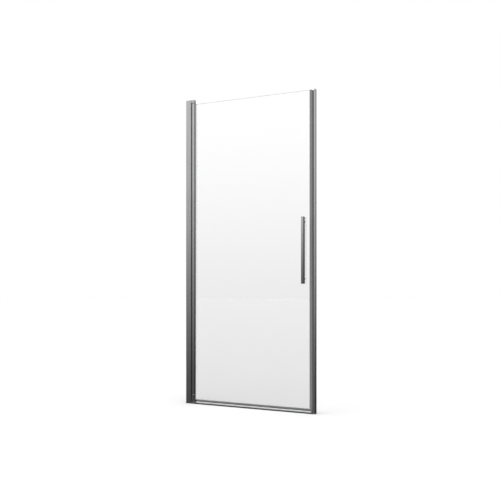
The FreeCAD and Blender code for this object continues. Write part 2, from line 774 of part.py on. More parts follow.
# ---------------------------------------------------------------- pivot stile and its end caps

stile_wall = size.stile_wall
slot_wall = slot_half + stile_wall
chamber_round = size.corner_round - stile_wall
chamber_left = stile_left + stile_wall
chamber_right = stile_right - stile_wall
chamber_front = stile_front + stile_wall

stile_outline = [
    (stile_left, stile_front, size.corner_round), (stile_right, stile_front, size.edge_round),
    (stile_right, -slot_half), (slot_left, -slot_half), (slot_left, slot_half), (stile_lip, slot_half),
    (stile_heel, stile_back), (stile_left, stile_back, size.edge_round)]
pin_chamber = box(chamber_left, chamber_front, chamber_right, -slot_wall, chamber_round)
cap_screw_x = stile_left + size.cap_screw_inset
cap_screw_y = (slot_half + stile_back) / 2
cap_port = (cap_screw_x, cap_screw_y, size.cap_screw_hole / 2)
extrusion("pivot_stile", [stile_outline, pin_chamber, cap_port], stile_low, stile_length)

cap_outline = [
    (stile_left, stile_front, size.corner_round), (stile_right, stile_front, size.edge_round),
    (stile_right, -slot_half), (stile_lip, slot_half), (stile_heel, stile_back),
    (stile_left, stile_back, size.edge_round)]
plug_outline = plug_box(chamber_left, chamber_front, chamber_right, -slot_wall, chamber_round - size.plug_gap)
bush_seat = (pivot_x, pivot_y, size.pin_radius + size.bush_gap + size.bush_wall + size.seat_gap)
cap_hole = (cap_screw_x, cap_screw_y, size.cap_screw + size.seat_gap)


def stile_cap(name, base, plug_up):
    """A plate over the stile's end with a plug that holds the bush; base is the stile's end face."""
    body = new_piece(name, "PartDesign::Body", z=base)
    pad(body, "XY_Plane", [cap_outline, bush_seat, cap_hole], size.cap_plate, reverse=plug_up)
    pad(body, "XY_Plane", [plug_outline, bush_seat], size.cap_plug, reverse=not plug_up)
    return body


stile_cap("stile_cap_bottom", stile_low, True)
stile_cap("stile_cap_top", stile_high, False)

cap_screw_sizes = (size.cap_screw, size.cap_screw_head, size.cap_screw_rise)
cap_seat = (cap_screw_x, cap_screw_y, size.cap_screw_head + size.head_gap)
cap_grip = size.cap_plate - size.cap_screw_rise + size.cap_screw_bite
pocket(pieces["stile_cap_bottom"], "XY_Plane", [cap_seat], size.cap_screw_rise,
       offset=size.cap_screw_rise - size.cap_plate)
pocket(pieces["stile_cap_top"], "XY_Plane", [cap_seat], size.cap_screw_rise, offset=size.cap_plate)
group("stile_cap_screws", [
    place(screw("low_cap_screw", *cap_screw_sizes, cap_grip),
          cap_screw_x, cap_screw_y, stile_bottom + size.cap_screw_rise, DOWN),
    place(screw("high_cap_screw", *cap_screw_sizes, cap_grip),
          cap_screw_x, cap_screw_y, stile_top - size.cap_screw_rise, UP)])

# ---------------------------------------------------------------- glass and its gaskets

screw_heights = [size.handle_middle - size.handle_pitch / 2, size.handle_middle + size.handle_pitch / 2]
glass_outline = [
    (rail_left, size.glass_bottom), (glass_right, size.glass_bottom), (glass_right, glass_top),
    (glass_left, glass_top), (glass_left, notch_top), (rail_left, notch_top)]
glass_holes = [(handle_x, middle, size.glass_hole / 2) for middle in screw_heights]
glass = new_piece("glass_panel", "PartDesign::Body", y=glass_half)
glass_pad = pad(glass, "XZ_Plane", [glass_outline] + glass_holes, size.glass_thick)
rim = ["Edge%d" % (index + 1) for index, edge in enumerate(glass_pad.Shape.Edges)
       if edge.Curve.TypeId == "Part::GeomLine" and edge.BoundBox.YLength < edge.Length / 2]
bevel = glass.newObject("PartDesign::Chamfer", "glass_bevel")
bevel.Base = (glass_pad, rim)
bind(bevel, "Size", size.glass_bevel)

gasket_outline = [
    (slot_left, -slot_half), (stile_right, -slot_half), (stile_right, -glass_half), (glass_left, -glass_half),
    (glass_left, glass_half), (stile_lip, glass_half), (stile_lip, slot_half), (slot_left, slot_half)]
extrusion("glazing_gasket", [gasket_outline], notch_top, glass_top - notch_top)

rail_gasket_outline = [
    (-rail_inner, gasket_base), (rail_inner, gasket_base), (rail_inner, rail_top - size.rail_gasket_top),
    (glass_half, rail_top - size.rail_gasket_top), (glass_half, size.glass_bottom),
    (-glass_half, size.glass_bottom), (-glass_half, rail_top - size.rail_gasket_top),
    (-rail_inner, rail_top - size.rail_gasket_top)]
rail_gasket_left = rail_left + size.rail_plug
rail_gasket_length = glass_right - size.rail_plug - rail_gasket_left
bar_along("rail_gasket", [rail_gasket_outline], rail_gasket_left, rail_gasket_length)

# ---------------------------------------------------------------- bottom rail, its caps and seal

mouth_half = size.rail_mouth / 2
rail_outline = [
    (-rail_half, size.rail_bottom), (-mouth_half, size.rail_bottom), (-mouth_half, seal_slot_low),
    (-rail_inner, seal_slot_low), (-rail_inner, seal_slot_top), (rail_inner, seal_slot_top),
    (rail_inner, seal_slot_low), (mouth_half, seal_slot_low), (mouth_half, size.rail_bottom),
    (rail_half, size.rail_bottom), (rail_half, rail_top, size.rail_round), (rail_inner, rail_top),
    (rail_inner, gasket_base), (-rail_inner, gasket_base), (-rail_inner, rail_top),
    (-rail_half, rail_top, size.rail_round)]
bar_along("bottom_rail", [rail_outline], rail_left, glass_right - rail_left)

rail_plug_outline = plug_box(-rail_inner, gasket_base, rail_inner, size.glass_bottom)
hinge_cap = new_piece("rail_cap_hinge", "PartDesign::Body", x=rail_start)
pad(hinge_cap, "YZ_Plane", [box(-rail_half, size.rail_bottom, rail_half, rail_top)], size.rail_cap)
pad(hinge_cap, "YZ_Plane", [rail_plug_outline], size.rail_cap + size.rail_plug)

seal_low = size.sill_height + size.seal_gap
seal_root = size.plug_gap
fin_outer = rail_half - size.seal_fin_inset
fin_inner = fin_outer - size.seal_fin
seal_base = size.rail_bottom - size.seal_fin
seal_outline = [
    (-fin_outer, seal_low), (-fin_inner, seal_low), (-fin_inner, seal_base), (fin_inner, seal_base),
    (fin_inner, seal_low), (fin_outer, seal_low), (fin_outer, size.rail_bottom),
    (mouth_half - seal_root, size.rail_bottom), (mouth_half - seal_root, seal_slot_low + seal_root),
    (rail_inner - seal_root, seal_slot_low + seal_root), (rail_inner - seal_root, seal_slot_top - seal_root),
    (seal_root - rail_inner, seal_slot_top - seal_root), (seal_root - rail_inner, seal_slot_low + seal_root),
    (seal_root - mouth_half, seal_slot_low + seal_root), (seal_root - mouth_half, size.rail_bottom),
    (-fin_outer, size.rail_bottom)]
bar_along("bottom_seal", [seal_outline], rail_left, glass_right - rail_left)

# ---------------------------------------------------------------- magnetic closing strips

leg_half = glass_half + size.strip_leg
head_tip = glass_right + size.strip_head
head_back = glass_right + size.strip_flank
slant = head_tip - leg_half
slant_turn = slant - head_back
fixed_slant = slant + size.strip_meet / DIAGONAL


def magnet_bar(on_slant, inward, clearance):
    """Corners of a magnet's section under a slanted face, where X plus Y is on_slant."""
    middle_y = (slant_turn - leg_half) / 2 + size.magnet_shift
    middle_x = on_slant - middle_y
    near = (size.magnet_skin + clearance) * DIAGONAL * inward
    far = (size.magnet_skin + size.magnet_thick - clearance) * DIAGONAL * inward
    side = (size.magnet_width / 2 - clearance) * DIAGONAL
    return [(middle_x + near - side, middle_y + near + side), (middle_x + far - side, middle_y + far + side),
            (middle_x + far + side, middle_y + far - side), (middle_x + near + side, middle_y + near - side)]


strip_left = glass_right - size.strip_grip
strip_low = rail_top + size.strip_rest
strip_outline = [
    (strip_left, -leg_half), (head_tip, -leg_half), (head_back, slant_turn), (head_back, leg_half),
    (strip_left, leg_half), (strip_left, glass_half), (glass_right, glass_half), (glass_right, -glass_half),
    (strip_left, -glass_half)]
no_gap = as_length(0)
extrusion("door_strip", [strip_outline, magnet_bar(slant, -1, no_gap)], strip_low, glass_top - strip_low)
extrusion("door_magnet", [magnet_bar(slant, -1, size.magnet_gap)], strip_low, glass_top - strip_low)

root_slot_low = size.root_low - size.root_gap
root_high = size.root_low + size.root_neck
root_face = nose_left + size.strike_wall + size.root_gap
root_end = root_face + size.root_head
fixed_outline = [
    (fixed_slant + leg_half, -leg_half), (nose_left, -leg_half), (nose_left, size.root_low),
    (root_face, size.root_low), (root_face, size.root_low - size.root_wing),
    (root_end, size.root_low - size.root_wing), (root_end, root_high + size.root_wing),
    (root_face, root_high + size.root_wing), (root_face, root_high),
    (nose_left, root_high), (nose_left, size.fixed_back), (fixed_slant - slant_turn, size.fixed_back),
    (fixed_slant - slant_turn, slant_turn)]
strike_length = strike_top - size.sill_height
extrusion("fixed_strip", [fixed_outline, magnet_bar(fixed_slant, 1, no_gap)], size.sill_height, strike_length)
extrusion("fixed_magnet", [magnet_bar(fixed_slant, 1, size.magnet_gap)], size.sill_height, strike_length)

strike_cap_piece = new_piece("rail_cap_strike", "PartDesign::Body", z=size.rail_bottom)
wedge_outline = [
    (glass_right, -rail_half), (head_tip, -rail_half), (head_tip, -leg_half), (head_back, slant_turn),
    (head_back, rail_half), (glass_right, rail_half)]
pad(strike_cap_piece, "XY_Plane", [wedge_outline], size.rail_height)
rail_plug_flat = box(glass_right - size.rail_plug, size.plug_gap - rail_inner,
                     glass_right + size.strip_flank, rail_inner - size.plug_gap)
pad(strike_cap_piece, "XY_Plane", [rail_plug_flat], size.rail_web - size.plug_gap * 2,
    offset=gasket_base + size.plug_gap - size.rail_bottom)

# ---------------------------------------------------------------- strike profile

shell = size.strike_wall
tongue_end = nose_front + shell
nose_sides = (nose_left + shell, tongue_end, nose_right - shell, profile_back - shell)
root_slot_high = root_high + size.root_gap
strike_outline = [
    (tongue_left, profile_front), (tongue_right, profile_front), (tongue_right, tongue_end),
    (nose_right, tongue_end), (nose_right, profile_back), (nose_left, profile_back),
    (nose_left, root_slot_high), (nose_left + shell, root_slot_high),
    (nose_left + shell, profile_back - shell), (nose_right - shell, profile_back - shell),
    (nose_right - shell, tongue_end), (nose_left + shell, tongue_end),
    (nose_left + shell, root_slot_low), (nose_left, root_slot_low),
    (nose_left, nose_front), (tongue_left, nose_front)]
strike_profile = extrusion("strike_profile", [strike_outline], size.sill_height, strike_length)
drill(strike_profile, tongue_left, size.tongue_thick,
      [(tongue_middle, middle - size.sill_height, slot_radius) for middle in fix_heights]
      + [(tongue_middle, middle - size.sill_height, size.wall_head_room / 2) for middle in wall_hole_heights])

strike_lid = new_piece("strike_profile_cap", "PartDesign::Body", z=strike_top)
lid_outline = [
    (tongue_left, profile_front), (tongue_right, profile_front), (tongue_right, tongue_end),
    (nose_right, tongue_end), (nose_right, profile_back), (nose_left, profile_back),
    (nose_left, nose_front), (tongue_left, nose_front)]
lid_plug = plug_box(root_end + size.root_gap, tongue_end, nose_right - shell, profile_back - shell)
pad(strike_lid, "XY_Plane", [lid_outline], size.strike_cap)
pad(strike_lid, "XY_Plane", [lid_plug], size.strike_cap_plug, reverse=True)

# ---------------------------------------------------------------- fixing screws of post and strike profile

fix_sizes = (size.fix_screw, size.fix_screw_head, size.fix_screw_rise)
hinge_grip = size.fix_washer_thick + size.channel_wall + size.slide_gap + size.fix_screw_bite
strike_grip = size.fix_washer_thick + size.tongue_thick + size.slide_gap + size.channel_wall


def fixings(name, turn, seat, head, grip):
    """Four screws with a washer under each head; seat and head give the X and Y where each one stands."""
    screws = [
        place(screw("%s_screw_%d" % (name, index), *fix_sizes, grip), *head, middle, turn)
        for index, middle in enumerate(fix_heights)]
    washers = [
        place(ring("%s_washer_%d" % (name, index), size.fix_washer, size.fix_screw + size.seat_gap,
                   size.fix_washer_thick), *seat, middle, turn)
        for index, middle in enumerate(fix_heights)]
    group(name + "_screws", screws)
    group(name + "_washers", washers)


fixings("hinge_fixing", BACKWARDS, (hinge_fix_x, size.frame_back),
        (hinge_fix_x, size.frame_back + size.fix_washer_thick), hinge_grip)
fixings("strike_fixing", FROM_STRIKE, (tongue_left, tongue_middle),
        (tongue_left - size.fix_washer_thick, tongue_middle), strike_grip)

# ---------------------------------------------------------------- sill and its end pieces

sill_front, sill_back = -size.sill_front, size.sill_back
sill_start = seal_face + size.sill_plate
sill_end = strike_wall - size.sill_strike_gap - size.sill_plate
sill_wall = size.sill_wall
rib_half = size.sill_rib / 2
sill_outline = [
    (sill_front, 0), (sill_front + sill_wall, 0), (sill_front + sill_wall, size.sill_height - sill_wall),
    (-rib_half, size.sill_height - sill_wall), (-rib_half, 0), (rib_half, 0),
    (rib_half, size.sill_height - sill_wall), (sill_back - sill_wall, size.sill_height - sill_wall),
    (sill_back - sill_wall, 0),
    (sill_back, 0), (sill_back, size.sill_height, size.sill_round),
    (sill_front, size.sill_height, size.sill_round)]
bar_along("sill", [sill_outline], sill_start, sill_end - sill_start)


def sill_piece(name, face, plate_towards):
    """A plate over the sill's end with a plug in its front hollow; plate_towards is -1 or +1 along X."""
    body = new_piece(name, "PartDesign::Body", x=face)
    plate = box(sill_front, 0, sill_back, size.sill_height, None, None, size.sill_round, size.sill_round)
    plug = box(sill_front + sill_wall + size.sill_glue, 0, -rib_half - size.sill_glue,
               size.sill_height - sill_wall - size.sill_glue)
    pad(body, "YZ_Plane", [plate], size.sill_plate, reverse=(plate_towards < 0))
    pad(body, "YZ_Plane", [plug], size.sill_plug, reverse=(plate_towards > 0))
    return body


sill_piece("sill_end_hinge", sill_start, -1)
sill_piece("sill_end_strike", sill_end, 1)

# ---------------------------------------------------------------- handle

grip_half = size.handle_width / 2
rounding = size.handle_round
grip_low = handle_low + size.handle_cap
grip_length = size.handle_length - size.handle_cap * 2
grip_outline = box(handle_x - grip_half, handle_front, handle_x + grip_half, handle_back, *[rounding] * 4)
grip_wall = size.handle_wall
hollow_sides = (handle_x - grip_half + grip_wall, handle_front + grip_wall,
                handle_x + grip_half - grip_wall, heel_front)
grip = extrusion("handle_grip", [grip_outline, box(*hollow_sides)], grip_low, grip_length)
tapped = [(handle_x, middle - grip_low, size.handle_screw + size.seat_gap) for middle in screw_heights]
pocket(grip, "XZ_Plane", tapped, size.handle_screw_bite, offset=-(handle_back - size.handle_screw_bite))


def handle_cap(name, face, plate_up):
    """A plate over the grip's end with a plug in its hollow."""
    body = new_piece(name, "PartDesign::Body", z=face)
    pad(body, "XY_Plane", [grip_outline], size.handle_cap, reverse=not plate_up)
    pad(body, "XY_Plane", [plug_box(*hollow_sides)], size.handle_plug, reverse=plate_up)
    return body


handle_cap("handle_cap_bottom", grip_low, False)
handle_cap("handle_cap_top", grip_low + grip_length, True)

inset = size.handle_pad_inset
pad_face = box(handle_x - grip_half + inset, handle_low + inset, handle_x + grip_half - inset,
               handle_low + size.handle_length - inset)
sleeve_hole = [(handle_x, middle, size.handle_screw + size.head_gap) for middle in screw_heights]
handle_pad_piece = new_piece("handle_pad", "PartDesign::Body", y=-glass_half)
pad(handle_pad_piece, "XZ_Plane", [pad_face] + sleeve_hole, size.handle_pad)

sleeve_outer = size.glass_hole / 2 - size.seat_gap
sleeve_sizes = (sleeve_outer, sleeve_outer - size.sleeve_wall, size.glass_thick)
group("handle_sleeves", [
    place(ring("handle_sleeve_%d" % index, *sleeve_sizes), handle_x, -glass_half, middle, BACKWARDS)
    for index, middle in enumerate(screw_heights)])
disc_pad_sizes = (size.disc_radius, size.handle_screw + size.head_gap, size.handle_pad)
group("inner_disc_pads", [
    place(ring("inner_disc_pad_%d" % index, *disc_pad_sizes), handle_x, glass_half, middle, BACKWARDS)
    for index, middle in enumerate(screw_heights)])


def inner_disc(name, middle):
    """A turned disc on the inner side, its screw seat open to the back and its rim rounded."""
    bore = size.handle_screw + size.seat_gap
    seat = size.handle_screw_head + size.head_gap
    body = doc.addObject("PartDesign::Body", name)
    turn_about_z(body, [
        (bore, 0), (size.disc_radius, 0), (size.disc_radius, size.disc_thick, size.disc_round),
        (seat, size.disc_thick), (seat, size.disc_floor), (bore, size.disc_floor)])
    return place(body, handle_x, disc_base, middle, BACKWARDS)


group("inner_discs", [
    inner_disc("inner_disc_%d" % index, middle) for index, middle in enumerate(screw_heights)])
handle_screw_sizes = (size.handle_screw, size.handle_screw_head, size.handle_screw_rise)
handle_grip_length = size.disc_floor + size.handle_pad * 2 + size.glass_thick + size.handle_screw_bite
group("handle_screws", [
    place(screw("handle_screw_%d" % index, *handle_screw_sizes, handle_grip_length),
          handle_x, disc_base + size.disc_floor, middle, BACKWARDS)
    for index, middle in enumerate(screw_heights)])

# ---------------------------------------------------------------- check and write

doc.recompute()
faults = [item.Name for item in doc.Objects if "Invalid" in item.State or "Error" in item.State]
faults += [name for name, piece in pieces.items() if piece.Shape.isNull() or not piece.Shape.isValid()]
if faults:
    raise RuntimeError("failed objects: " + ", ".join(faults))

os.makedirs("parts", exist_ok=True)
for name, piece in pieces.items():
    piece.Shape.exportStep("parts/%s.step" % name)
    extent = piece.Shape.BoundBox
    print("%-22s %d solid(s), %.1f x %.1f x %.1f mm" % (
        name, len(piece.Shape.Solids), extent.XLength, extent.YLength, extent.ZLength))
print(len(pieces), "pieces")
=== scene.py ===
# %% [markdown]
# # A pivot shower door, dressed for a studio picture
# The real object is a glass leaf between two wall profiles. The leaf turns on two pins in a slim upright,
# the pivot stile, and closes with a magnetic strip against the strike profile. The construction comes in
# ready made: every profile, cap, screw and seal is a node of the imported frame, in metres, standing on the
# floor at z = 0. What is made here is what a photograph would notice: finishes, light, and the small soft
# or turned pieces that deserve a finer mesh than a construction model has.

# %% Load the frame
import math

import bmesh
import bpy
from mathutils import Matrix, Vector


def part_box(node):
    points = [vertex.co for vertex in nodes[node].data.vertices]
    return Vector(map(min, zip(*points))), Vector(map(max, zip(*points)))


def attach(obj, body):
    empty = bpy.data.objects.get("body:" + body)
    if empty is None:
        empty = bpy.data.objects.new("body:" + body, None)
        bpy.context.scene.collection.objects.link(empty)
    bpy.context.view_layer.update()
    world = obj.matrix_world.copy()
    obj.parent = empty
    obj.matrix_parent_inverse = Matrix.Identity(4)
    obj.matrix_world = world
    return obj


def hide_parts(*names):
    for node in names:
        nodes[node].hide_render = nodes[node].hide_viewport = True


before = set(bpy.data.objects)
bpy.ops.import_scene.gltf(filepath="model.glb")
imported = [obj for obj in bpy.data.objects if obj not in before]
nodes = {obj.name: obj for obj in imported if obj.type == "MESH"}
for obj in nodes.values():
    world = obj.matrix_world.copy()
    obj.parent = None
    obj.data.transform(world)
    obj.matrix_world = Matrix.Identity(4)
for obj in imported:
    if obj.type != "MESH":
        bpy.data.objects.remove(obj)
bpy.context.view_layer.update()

# %% [markdown]
# ## The camera
# The picture is taken from the strike side, a little below the middle of the door, with a level camera: all
# uprights stay upright. A level camera that still frames the whole door is a shift lens, so the height of
# the horizon in the picture is set with shift_y and not by tilting. Only the small shift that the framing
# needs is used.

# %% Camera
EYE = Vector((2.0273, -4.0299, 0.7848))  # metres, in the door's frame
TURN = math.radians(26.66)  # to the left of straight at the door
LENS = 52.32  # millimetres on a 36 mm sensor
RISE = 0.063  # share of the picture's width

camera_data = bpy.data.cameras.new("studio_camera")
camera_data.lens = LENS
camera_data.sensor_width = 36
camera_data.shift_y = RISE
camera = bpy.data.objects.new("studio_camera", camera_data)
camera.location = EYE
camera.rotation_euler = (math.pi / 2, 0, TURN)
bpy.context.scene.collection.objects.link(camera)
bpy.context.scene.camera = camera
bpy.context.scene.view_settings.view_transform = "Standard"
print("camera", round((EYE - Vector((0, 0, 0.975))).length, 2), "m from the middle of the door")

# %% [markdown]
# ## Helpers for shader trees
# A material here is a short list of nodes and links. Two helpers keep the cells short: one adds a node and
# sets its values by name, the other joins an output to an input.

# %% Node helpers
def add(tree, kind, values=None, **settings):
    """A new node; settings are its properties and values its unlinked inputs, by name or number."""
    node = tree.nodes.new("ShaderNode" + kind)
    for name, value in settings.items():
        setattr(node, name, value)
    for name, value in (values or {}).items():
        node.inputs[name].default_value = value
    return node


def join(tree, *pairs):
    """Links (output, input) pairs."""
    for output, socket in pairs:
        tree.links.new(output, socket)


# %% [markdown]
# ## Studio light
# The metal of this door is nearly a mirror for soft shapes, so its shading is the studio seen in it: bright
# above the eye line and dark towards the floor. Lamps would give spots in the glass. A dome that grows
# brighter with height gives the even fall from light to dark that a large softbox over a dark floor gives.
# Straight views, and views through clear glass, see the white backdrop itself; a path that has met a mirror
# on its way sees the dome, also when it goes on through the glass. A slightly darker back half shapes the
# side faces. Well below the horizon the dome grows paler again, as a floor near the object does, which
# keeps the metal readable from above.

# %% World dome
DOME_BRIGHT = 2.75  # level well above the horizon
DOME_DARK = 0.13  # level near the floor
FADE_LOW, FADE_HIGH = -0.20, 0.29  # sines of the heights between which the dome fades
BACK_SHARE = 0.43  # level of the half behind the door
BACK_FROM, BACK_FULL = -0.6, 0.6  # share of +Y in a direction, where that level begins and is complete
NEAR_GLOW = 0.75  # what the pale floor near the object adds
GLOW_START, GLOW_FULL = -0.26, -0.55  # sines of the angles below the horizon between which it comes in
BACKDROP = 1.0  # level of what straight views see
NO_MIRROR = 0.5  # a path with fewer mirrors than this has met none

world = bpy.data.worlds.new("studio")
bpy.context.scene.world = world
world.use_nodes = True
tree = world.node_tree
background = tree.nodes["Background"]
direction = add(tree, "TexCoord")
parts = add(tree, "SeparateXYZ")
rise = add(tree, "MapRange", {1: FADE_LOW, 2: FADE_HIGH, 3: DOME_DARK, 4: DOME_BRIGHT},
           interpolation_type="SMOOTHSTEP")
glow = add(tree, "MapRange", {1: GLOW_START, 2: GLOW_FULL, 3: 0.0, 4: NEAR_GLOW},
           interpolation_type="SMOOTHSTEP")
lit = add(tree, "Math", operation="ADD")
behind = add(tree, "MapRange", {1: BACK_FROM, 2: BACK_FULL, 3: 1.0, 4: BACK_SHARE},
             interpolation_type="SMOOTHSTEP")
level = add(tree, "Math", operation="MULTIPLY")
path = add(tree, "LightPath")
unmirrored = add(tree, "Math", {1: NO_MIRROR}, operation="LESS_THAN")
through = add(tree, "Math", operation="MULTIPLY")
straight = add(tree, "Math", operation="MAXIMUM")
choose = add(tree, "Mix", {3: BACKDROP}, data_type="FLOAT")
join(tree, (direction.outputs["Generated"], parts.inputs[0]),
     (parts.outputs["Z"], rise.inputs[0]), (parts.outputs["Z"], glow.inputs[0]),
     (parts.outputs["Y"], behind.inputs[0]),
     (rise.outputs[0], level.inputs[0]), (behind.outputs[0], level.inputs[1]),
     (level.outputs[0], lit.inputs[0]), (glow.outputs[0], lit.inputs[1]),
     (path.outputs["Is Camera Ray"], straight.inputs[0]),
     (path.outputs["Glossy Depth"], unmirrored.inputs[0]), (unmirrored.outputs[0], through.inputs[0]),
     (path.outputs["Is Transmission Ray"], through.inputs[1]), (through.outputs[0], straight.inputs[1]),
     (straight.outputs[0], choose.inputs[0]), (lit.outputs[0], choose.inputs[2]),
     (choose.outputs[0], background.inputs["Strength"]))
background.inputs["Color"].default_value = (1, 1, 1, 1)
print("dome from", DOME_DARK, "to", DOME_BRIGHT)

# %% [markdown]
# ## Floor
# A plain pale floor: one large disc. It is lit by the dome to the same white as the backdrop, so no horizon
# shows, and keeps only a soft contact shadow. The metal doesn't mirror it: in a studio the floor just in
# front of the set is dark, and that is the dome's lower edge.

# %% Floor disc
FLOOR_RADIUS = 30.0
FLOOR_TONE = (0.53, 0.53, 0.53)
FLOOR_ROUGHNESS = 0.9

bpy.ops.object.select_all(action="DESELECT")
bpy.ops.mesh.primitive_circle_add(vertices=96, radius=FLOOR_RADIUS, fill_type="NGON")
floor = bpy.context.object
floor.name = "studio_floor"
floor.visible_glossy = False
floor.visible_shadow = False
floor_paint = bpy.data.materials.new("floor_paint")
floor_paint.use_nodes = True
floor_shader = floor_paint.node_tree.nodes["Principled BSDF"]
floor_shader.inputs["Base Color"].default_value = (*FLOOR_TONE, 1)
floor_shader.inputs["Roughness"].default_value = FLOOR_ROUGHNESS
floor_shader.inputs["Specular IOR Level"].default_value = 0
floor.data.materials.append(floor_paint)
print("floor of", FLOOR_RADIUS, "m radius")

# %% [markdown]
# ## Shared effects
# Seven effects turn up in more than one finish, so each is a node group with named inputs, built once: fine
# drawn lines from extruding or brushing, soft edges that catch the light, slow drifts of tone, handling
# marks, the pebbled grain of moulded plastic, the directions a face looks in, and painted shade on the
# flanks and along the height. A group hands out only numbers, colours and normals; the shader stays in the
# material.

# %% Group helper
KINDS = {"value": "NodeSocketFloat", "vector": "NodeSocketVector", "colour": "NodeSocketColor"}


def new_group(name, inputs, outputs):
    """An empty group tree with its sockets; inputs are (name, kind, value)."""
    group = bpy.data.node_groups.new(name, "ShaderNodeTree")
    for title, kind, value in inputs:
        socket = group.interface.new_socket(name=title, in_out="INPUT", socket_type=KINDS[kind])
        if value is not None:
            socket.default_value = value
    for title, kind in outputs:
        group.interface.new_socket(name=title, in_out="OUTPUT", socket_type=KINDS[kind])
    print("group", name)
    return group, group.nodes.new("NodeGroupInput"), group.nodes.new("NodeGroupOutput")


# %% [markdown]
# Drawn lines: noise that is stretched along one axis. The material stretches the coordinates, the group
# adds a coarse and a fine set of lines. The output is a height for bump and for roughness.

# %% Group: drawn lines
COARSE_SCALE = 0.21  # of the fine lines' scale
COARSE_SHARE = 0.35

drawn_lines, enter, leave = new_group(
    "drawn_lines", [("Vector", "vector", None), ("Scale", "value", 900.0)], [("Height", "value")])
fine = add(drawn_lines, "TexNoise", {"Detail": 2.0, "Roughness": 0.6})
coarse_scale = add(drawn_lines, "Math", {1: COARSE_SCALE}, operation="MULTIPLY")
coarse = add(drawn_lines, "TexNoise", {"Detail": 1.0})
blend = add(drawn_lines, "Mix", {0: COARSE_SHARE}, data_type="FLOAT")
join(drawn_lines, (enter.outputs["Vector"], fine.inputs["Vector"]),
     (enter.outputs["Scale"], fine.inputs["Scale"]),
     (enter.outputs["Scale"], coarse_scale.inputs[0]), (enter.outputs["Vector"], coarse.inputs["Vector"]),
     (coarse_scale.outputs[0], coarse.inputs["Scale"]),
     (fine.outputs[0], blend.inputs[2]), (coarse.outputs[0], blend.inputs[3]),
     (blend.outputs[0], leave.inputs["Height"]))

# %% [markdown]
# Soft edges: no machined edge is perfectly sharp. The Bevel node bends the shading normal within a small
# radius of each edge, and where it differs from the flat normal there is an edge, which gives a mask for
# wear.

# %% Group: soft edges
EDGE_FROM, EDGE_FULL = 0.995, 0.80  # agreement of the two normals where an edge begins and is complete

soft_edges, enter, leave = new_group(
    "soft_edges", [("Radius", "value", 0.0006)], [("Normal", "vector"), ("Edge", "value")])
bend = add(soft_edges, "Bevel", samples=6)
flat = add(soft_edges, "NewGeometry")
agree = add(soft_edges, "VectorMath", operation="DOT_PRODUCT")
mask = add(soft_edges, "MapRange", {1: EDGE_FROM, 2: EDGE_FULL, 3: 0.0, 4: 1.0})
join(soft_edges, (enter.outputs["Radius"], bend.inputs["Radius"]),
     (bend.outputs["Normal"], agree.inputs[0]), (flat.outputs["True Normal"], agree.inputs[1]),
     (agree.outputs["Value"], mask.inputs[0]),
     (bend.outputs["Normal"], leave.inputs["Normal"]), (mask.outputs[0], leave.inputs["Edge"]))

# %% [markdown]
# Tone drift: an anodising bath or an extruder never gives exactly one tone over two metres. A very wide
# noise multiplies the colour by a little more or less than one.

# %% Group: tone drift
NOISE_LOW, NOISE_HIGH = 0.3, 0.7  # nearly all of a noise lies between these

tone_drift, enter, leave = new_group(
    "tone_drift",
    [("Vector", "vector", None), ("Scale", "value", 3.0), ("Amount", "value", 0.05),
     ("Color", "colour", None)],
    [("Color", "colour")])
wide = add(tone_drift, "TexNoise", {"Detail": 3.0, "Roughness": 0.55})
low = add(tone_drift, "Math", {0: 1.0}, operation="SUBTRACT")
high = add(tone_drift, "Math", {0: 1.0}, operation="ADD")
span = add(tone_drift, "MapRange", {1: NOISE_LOW, 2: NOISE_HIGH})
tint = add(tone_drift, "VectorMath", operation="SCALE")
join(tone_drift, (enter.outputs["Vector"], wide.inputs["Vector"]),
     (enter.outputs["Scale"], wide.inputs["Scale"]),
     (enter.outputs["Amount"], low.inputs[1]), (enter.outputs["Amount"], high.inputs[1]),
     (wide.outputs[0], span.inputs[0]), (low.outputs[0], span.inputs[3]), (high.outputs[0], span.inputs[4]),
     (enter.outputs["Color"], tint.inputs[0]), (span.outputs[0], tint.inputs["Scale"]),
     (tint.outputs[0], leave.inputs["Color"]))

# %% [markdown]
# Handling marks: wiped water and fingers leave patches where the surface is a touch duller. Two noises of
# different size are multiplied, so the patches break up, and only their peaks are kept.

# %% Group: handling marks
SPECK_SCALE = 6.3  # of the patches' scale
MARK_FROM, MARK_FULL = 0.24, 0.46  # of the product of the two noises

handling_marks, enter, leave = new_group(
    "handling_marks", [("Vector", "vector", None), ("Scale", "value", 18.0)], [("Mask", "value")])
patches = add(handling_marks, "TexNoise", {"Detail": 4.0, "Roughness": 0.65})
small_scale = add(handling_marks, "Math", {1: SPECK_SCALE}, operation="MULTIPLY")
specks = add(handling_marks, "TexNoise", {"Detail": 2.0})
both = add(handling_marks, "Math", operation="MULTIPLY")
peaks = add(handling_marks, "MapRange", {1: MARK_FROM, 2: MARK_FULL, 3: 0.0, 4: 1.0},
            interpolation_type="SMOOTHSTEP")
join(handling_marks, (enter.outputs["Vector"], patches.inputs["Vector"]),
     (enter.outputs["Scale"], patches.inputs["Scale"]), (enter.outputs["Scale"], small_scale.inputs[0]),
     (enter.outputs["Vector"], specks.inputs["Vector"]), (small_scale.outputs[0], specks.inputs["Scale"]),
     (patches.outputs[0], both.inputs[0]), (specks.outputs[0], both.inputs[1]),
     (both.outputs[0], peaks.inputs[0]), (peaks.outputs[0], leave.inputs["Mask"]))

# %% [markdown]
# Moulded grain: the spark-eroded skin of a plastic cap is a field of tiny pits. A Voronoi distance softened
# by noise looks like it from a hand's width away.

# %% Group: moulded grain
SOFT_SHARE = 0.4  # of the noise in the grain

